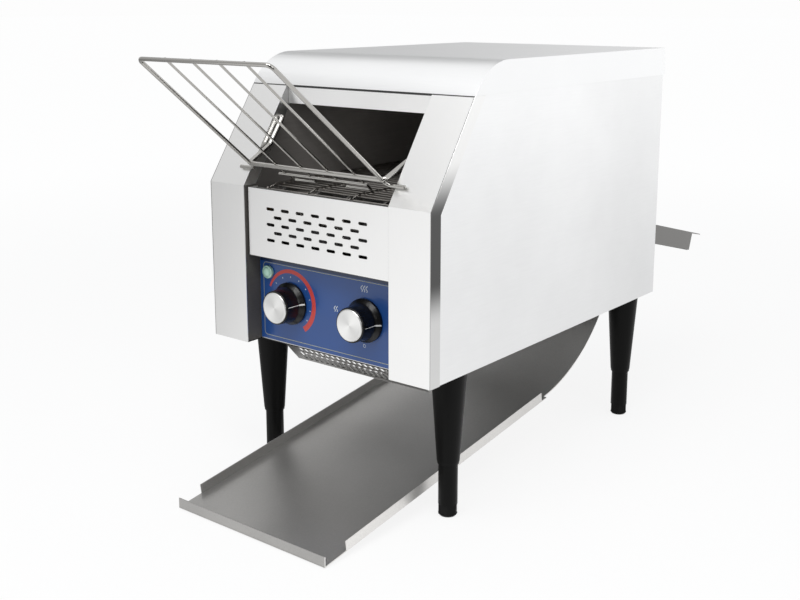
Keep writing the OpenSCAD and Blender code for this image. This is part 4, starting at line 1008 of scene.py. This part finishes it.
# A screw's head in millimetres: its rings' radii and heights, and the cross recess's arm, half width,
# depth, and size at its bottom as a share
HEAD_RINGS = ((3.55, 0.0), (3.55, 0.5), (3.3, 1.2), (2.6, 1.8), (1.9, 2.05))
CROSS_ARM, CROSS_HALF, CROSS_DEPTH, CROSS_TAPER = 1.7, 0.36, 0.9, 0.55
# The rear screws' distance from the middle, y and height
REAR_SCREWS = ((122.0, 457.0, UNDERSIDE + 91.0), (135.5, 456.0, UNDERSIDE + 12.0),
               (135.5, 456.0, UNDERSIDE + 148.0), (135.5, 456.0, 408.5))


def screw_head():
    """A pan head with a cross recess, facing +Y."""
    work = bmesh.new()
    rows = [[work.verts.new((x * MM, lift * MM, z * MM)) for x, z in arc(0.0, 0.0, radius, 0.0, 345.0, 23)]
            for radius, lift in HEAD_RINGS]
    for a, b in zip(rows, rows[1:]):
        band(work, a, b)
    work.faces.new(rows[0])
    corner = ((CROSS_ARM, CROSS_HALF), (CROSS_HALF, CROSS_HALF), (CROSS_HALF, CROSS_ARM))
    cross = [(x * c - z * s, x * s + z * c) for c, s in ((1, 0), (0, 1), (-1, 0), (0, -1)) for x, z in corner]
    top = HEAD_RINGS[-1][1]
    rim, pit = [[work.verts.new((x * size * MM, lift * MM, z * size * MM)) for x, z in cross]
                for size, lift in ((1.0, top), (CROSS_TAPER, top - CROSS_DEPTH))]
    band(work, rim, pit)
    work.faces.new(pit)
    edges = [e for e in work.edges if len(e.link_faces) == 1]
    bmesh.ops.triangle_fill(work, use_beauty=True, use_dissolve=False, edges=edges)
    bmesh.ops.recalc_face_normals(work, faces=work.faces)
    return join_into("screw_head", [work])


class ToasterScrews(bpy.types.Operator):
    """Sets the pan-head screws in the rear panel and the rear guard's flange"""

    bl_idname = "toaster.screws"
    bl_label = "Rear screws"

    def execute(self, context):
        places = [at(side * x, y, z) for side in (-1, 1) for x, y, z in REAR_SCREWS]
        head = screw_head()
        repeated("rear_screws", places, head, head.copy(), "zinc", "panel_screws", turn=False)
        return {"FINISHED"}


# -------------------- stage


# What the camera sees of the floor and the world, 1 being white. The floor grows lighter with its
# distance, since less of the lamps' light reaches it there
FLOOR_SEEN, WORLD_SEEN = (1.015, 1.075), 0.982
# What the metal mirrors, as strengths: the floor behind by its distance, the floor in front from left
# to right, the dark floor in front on the right, and the sky from low to high
BEHIND_REACH, BEHIND_FLOOR = (0.7, 4.6), (0.87, 1.14)
FRONT_FLOOR, DARK_FLOOR = (0.39, 1.06), 0.12
SKY = ((0.49, 0.73), (0.66, 1.0))
# Parts of the room: a direction, how near to it the part begins and is full, and its strength
ROOM_PARTS = (((-0.66, 0.65, 0.36), (0.950, 0.985), 0.38), ((0.62, 0.78, 0.0), (0.45, 0.80), 1.06),
              ((0.62, -0.76, 0.12), (0.76, 0.92), 0.10))
# The lamps: name, place, size and share of the lamp power, and the place that they all point at
LAMPS = (("key_softbox", (0.32, -0.95, 1.65), (1.2, 0.6), 1.0),
         ("side_softbox", (2.2, -1.0, 1.0), (0.8, 0.8), 0.5))
LAMPS_AIM = (0.0, 0.0, 0.25)
# The camera as solved from the photo: focal length, shift and picture width in pixels, place in
# millimetres, and tilt and turn in degrees
FOCAL, SHIFT, WIDTH, SENSOR = 1120.38, -70.0, 800.0, 36.0
CAMERA_PLACE, CAMERA_TILT, CAMERA_TURN = (729.73, -781.43, 502.34), 90.0 - 11.576, 38.487


def shown(tree, matt, light, output, seen_share):
    """Shows the camera and mirrors one shader and the rest of the light another."""
    path = put(tree, "ShaderNodeLightPath").outputs
    seen = math_node(tree, "ADD", path["Is Camera Ray"], path["Is Transmission Ray"], clamp=True)
    share = math_node(tree, "ADD", product(tree, seen, seen_share), path["Is Glossy Ray"], clamp=True)
    mix = put(tree, "ShaderNodeMixShader", (share, matt.outputs[0], light(seen).outputs[0]))
    put(tree, output, {"Surface": mix.outputs[0]})


class ToasterStage(bpy.types.Operator):
    """Sets the white floor, the studio that the metal mirrors, the lamps and the camera"""

    bl_idname = "toaster.stage"
    bl_label = "Stage"

    def execute(self, context):
        scene = context.scene
        stage = scene.toaster_stage
        self.floor(stage)
        self.studio(scene, stage)
        for name, place, size, share in LAMPS:
            light = bpy.data.lights.new(name, "AREA")
            light.shape = "RECTANGLE"
            light.size, light.size_y = size
            light.energy = stage.lamp_power * share
            lamp = added(name, light)
            lamp.location = place
            lamp.rotation_euler = (Vector(LAMPS_AIM) - Vector(place)).to_track_quat("-Z", "Y").to_euler()

        lens = bpy.data.cameras.new("camera")
        lens.sensor_width = SENSOR
        lens.lens = FOCAL * SENSOR / WIDTH
        lens.shift_y = SHIFT / WIDTH
        lens.clip_start, lens.clip_end = 0.05, 60.0
        camera = added("camera", lens)
        camera.location = at(*CAMERA_PLACE)
        camera.rotation_euler = (math.radians(CAMERA_TILT), 0.0, math.radians(CAMERA_TURN))
        scene.camera = camera
        scene.view_settings.view_transform = "Standard"
        return {"FINISHED"}

    def floor(self, stage):
        """The floor: white to the camera with a little of the object's shadow, and to mirrors a
        sheet whose brightness changes across the room."""
        bpy.ops.mesh.primitive_plane_add(size=60.0, location=(0.0, 0.0, -0.0005))
        floor = bpy.context.active_object
        floor.name = "studio_floor"
        material = bpy.data.materials.new("Studio floor")
        tree = emptied(material)
        place = put(tree, "ShaderNodeTexCoord").outputs["Object"]
        away = vector_math(tree, "LENGTH", place)
        x, y, _ = parts_of(tree, place)
        aside = math_node(tree, "SUBTRACT", x, product(tree, y, 0.936))
        ahead = spread(tree, aside, (-0.30, 0.30), FRONT_FLOOR)
        behind = spread(tree, away, BEHIND_REACH, BEHIND_FLOOR)
        near = product(tree, spread(tree, x, (0.05, 0.35), (0.0, 1.0)),
                       spread(tree, y, (-0.70, -0.35), (1.0, 0.0)))
        room = blend(tree, spread(tree, y, (-0.30, 0.30), (0.0, 1.0)), ahead, behind)
        mirrored = blend(tree, near, room, DARK_FLOOR)

        def glow(seen):
            white = spread(tree, away, (0.6, 2.5), FLOOR_SEEN)
            return put(tree, "ShaderNodeEmission", {"Strength": blend(tree, seen, mirrored, white)})

        matt = put(tree, "ShaderNodeBsdfDiffuse", {"Color": (0.85, 0.85, 0.85, 1.0)})
        shown(tree, matt, glow, "ShaderNodeOutputMaterial", 1.0 - stage.shadow)
        floor.data.materials.append(material)

    def studio(self, scene, stage):
        """The world: white to the camera, an even soft light, and to mirrors a room that is bright
        above and behind on the right, and dark where the camera stands."""
        scene.world = bpy.data.worlds.new("Studio")
        tree = emptied(scene.world)
        way = put(tree, "ShaderNodeTexCoord").outputs["Generated"]
        _, y, z = parts_of(tree, way)
        room = spread(tree, math_node(tree, "ADD", z, product(tree, y, 0.2)), *SKY)
        for direction, reach, strength in ROOM_PARTS:
            towards = vector_math(tree, "DOT_PRODUCT", way, Vector(direction).normalized())
            room = blend(tree, spread(tree, towards, reach, (0.0, 1.0)), room, strength)

        def backdrop(seen):
            return put(tree, "ShaderNodeBackground", {
                "Color": (1.0, 1.0, 1.0, 1.0), "Strength": blend(tree, seen, room, WORLD_SEEN)})

        soft = put(tree, "ShaderNodeBackground",
                   {"Color": (0.97, 0.985, 1.0, 1.0), "Strength": stage.soft_light})
        shown(tree, soft, backdrop, "ShaderNodeOutputWorld", 1.0)


# -------------------- panel and running


PIECES = (ToasterSheets, ToasterLabelPrint, ToasterPointers, ToasterLoadRack, ToasterWireBelt,
          ToasterDriveChain, ToasterScrews, ToasterStage)
SETTINGS = (("toaster_steel", ToasterSteelSettings), ("toaster_label", ToasterLabelSettings),
            ("toaster_wire", ToasterWireSettings), ("toaster_stage", ToasterStageSettings))


class VIEW3D_PT_toaster(bpy.types.Panel):
    """Lists the toaster's settings and pieces"""

    bl_label = "Conveyor toaster"
    bl_idname = "VIEW3D_PT_toaster"
    bl_space_type = "VIEW_3D"
    bl_region_type = "UI"
    bl_category = "Toaster"

    def draw(self, context):
        for name, kind in SETTINGS:
            box = self.layout.box()
            group = getattr(context.scene, name)
            for setting in kind.__annotations__:
                box.prop(group, setting)
        for piece in PIECES:
            self.layout.operator(piece.bl_idname)


def register():
    for name, kind in SETTINGS:
        bpy.utils.register_class(kind)
        setattr(bpy.types.Scene, name, bpy.props.PointerProperty(type=kind))
    for kind in (*PIECES, VIEW3D_PT_toaster):
        bpy.utils.register_class(kind)


def unregister():
    for kind in reversed((*PIECES, VIEW3D_PT_toaster)):
        bpy.utils.unregister_class(kind)
    for name, kind in reversed(SETTINGS):
        delattr(bpy.types.Scene, name)
        bpy.utils.unregister_class(kind)


def main():
    register()
    for piece in PIECES:
        group, name = piece.bl_idname.split(".")
        getattr(getattr(bpy.ops, group), name)()


if __name__ == "__main__":
    main()
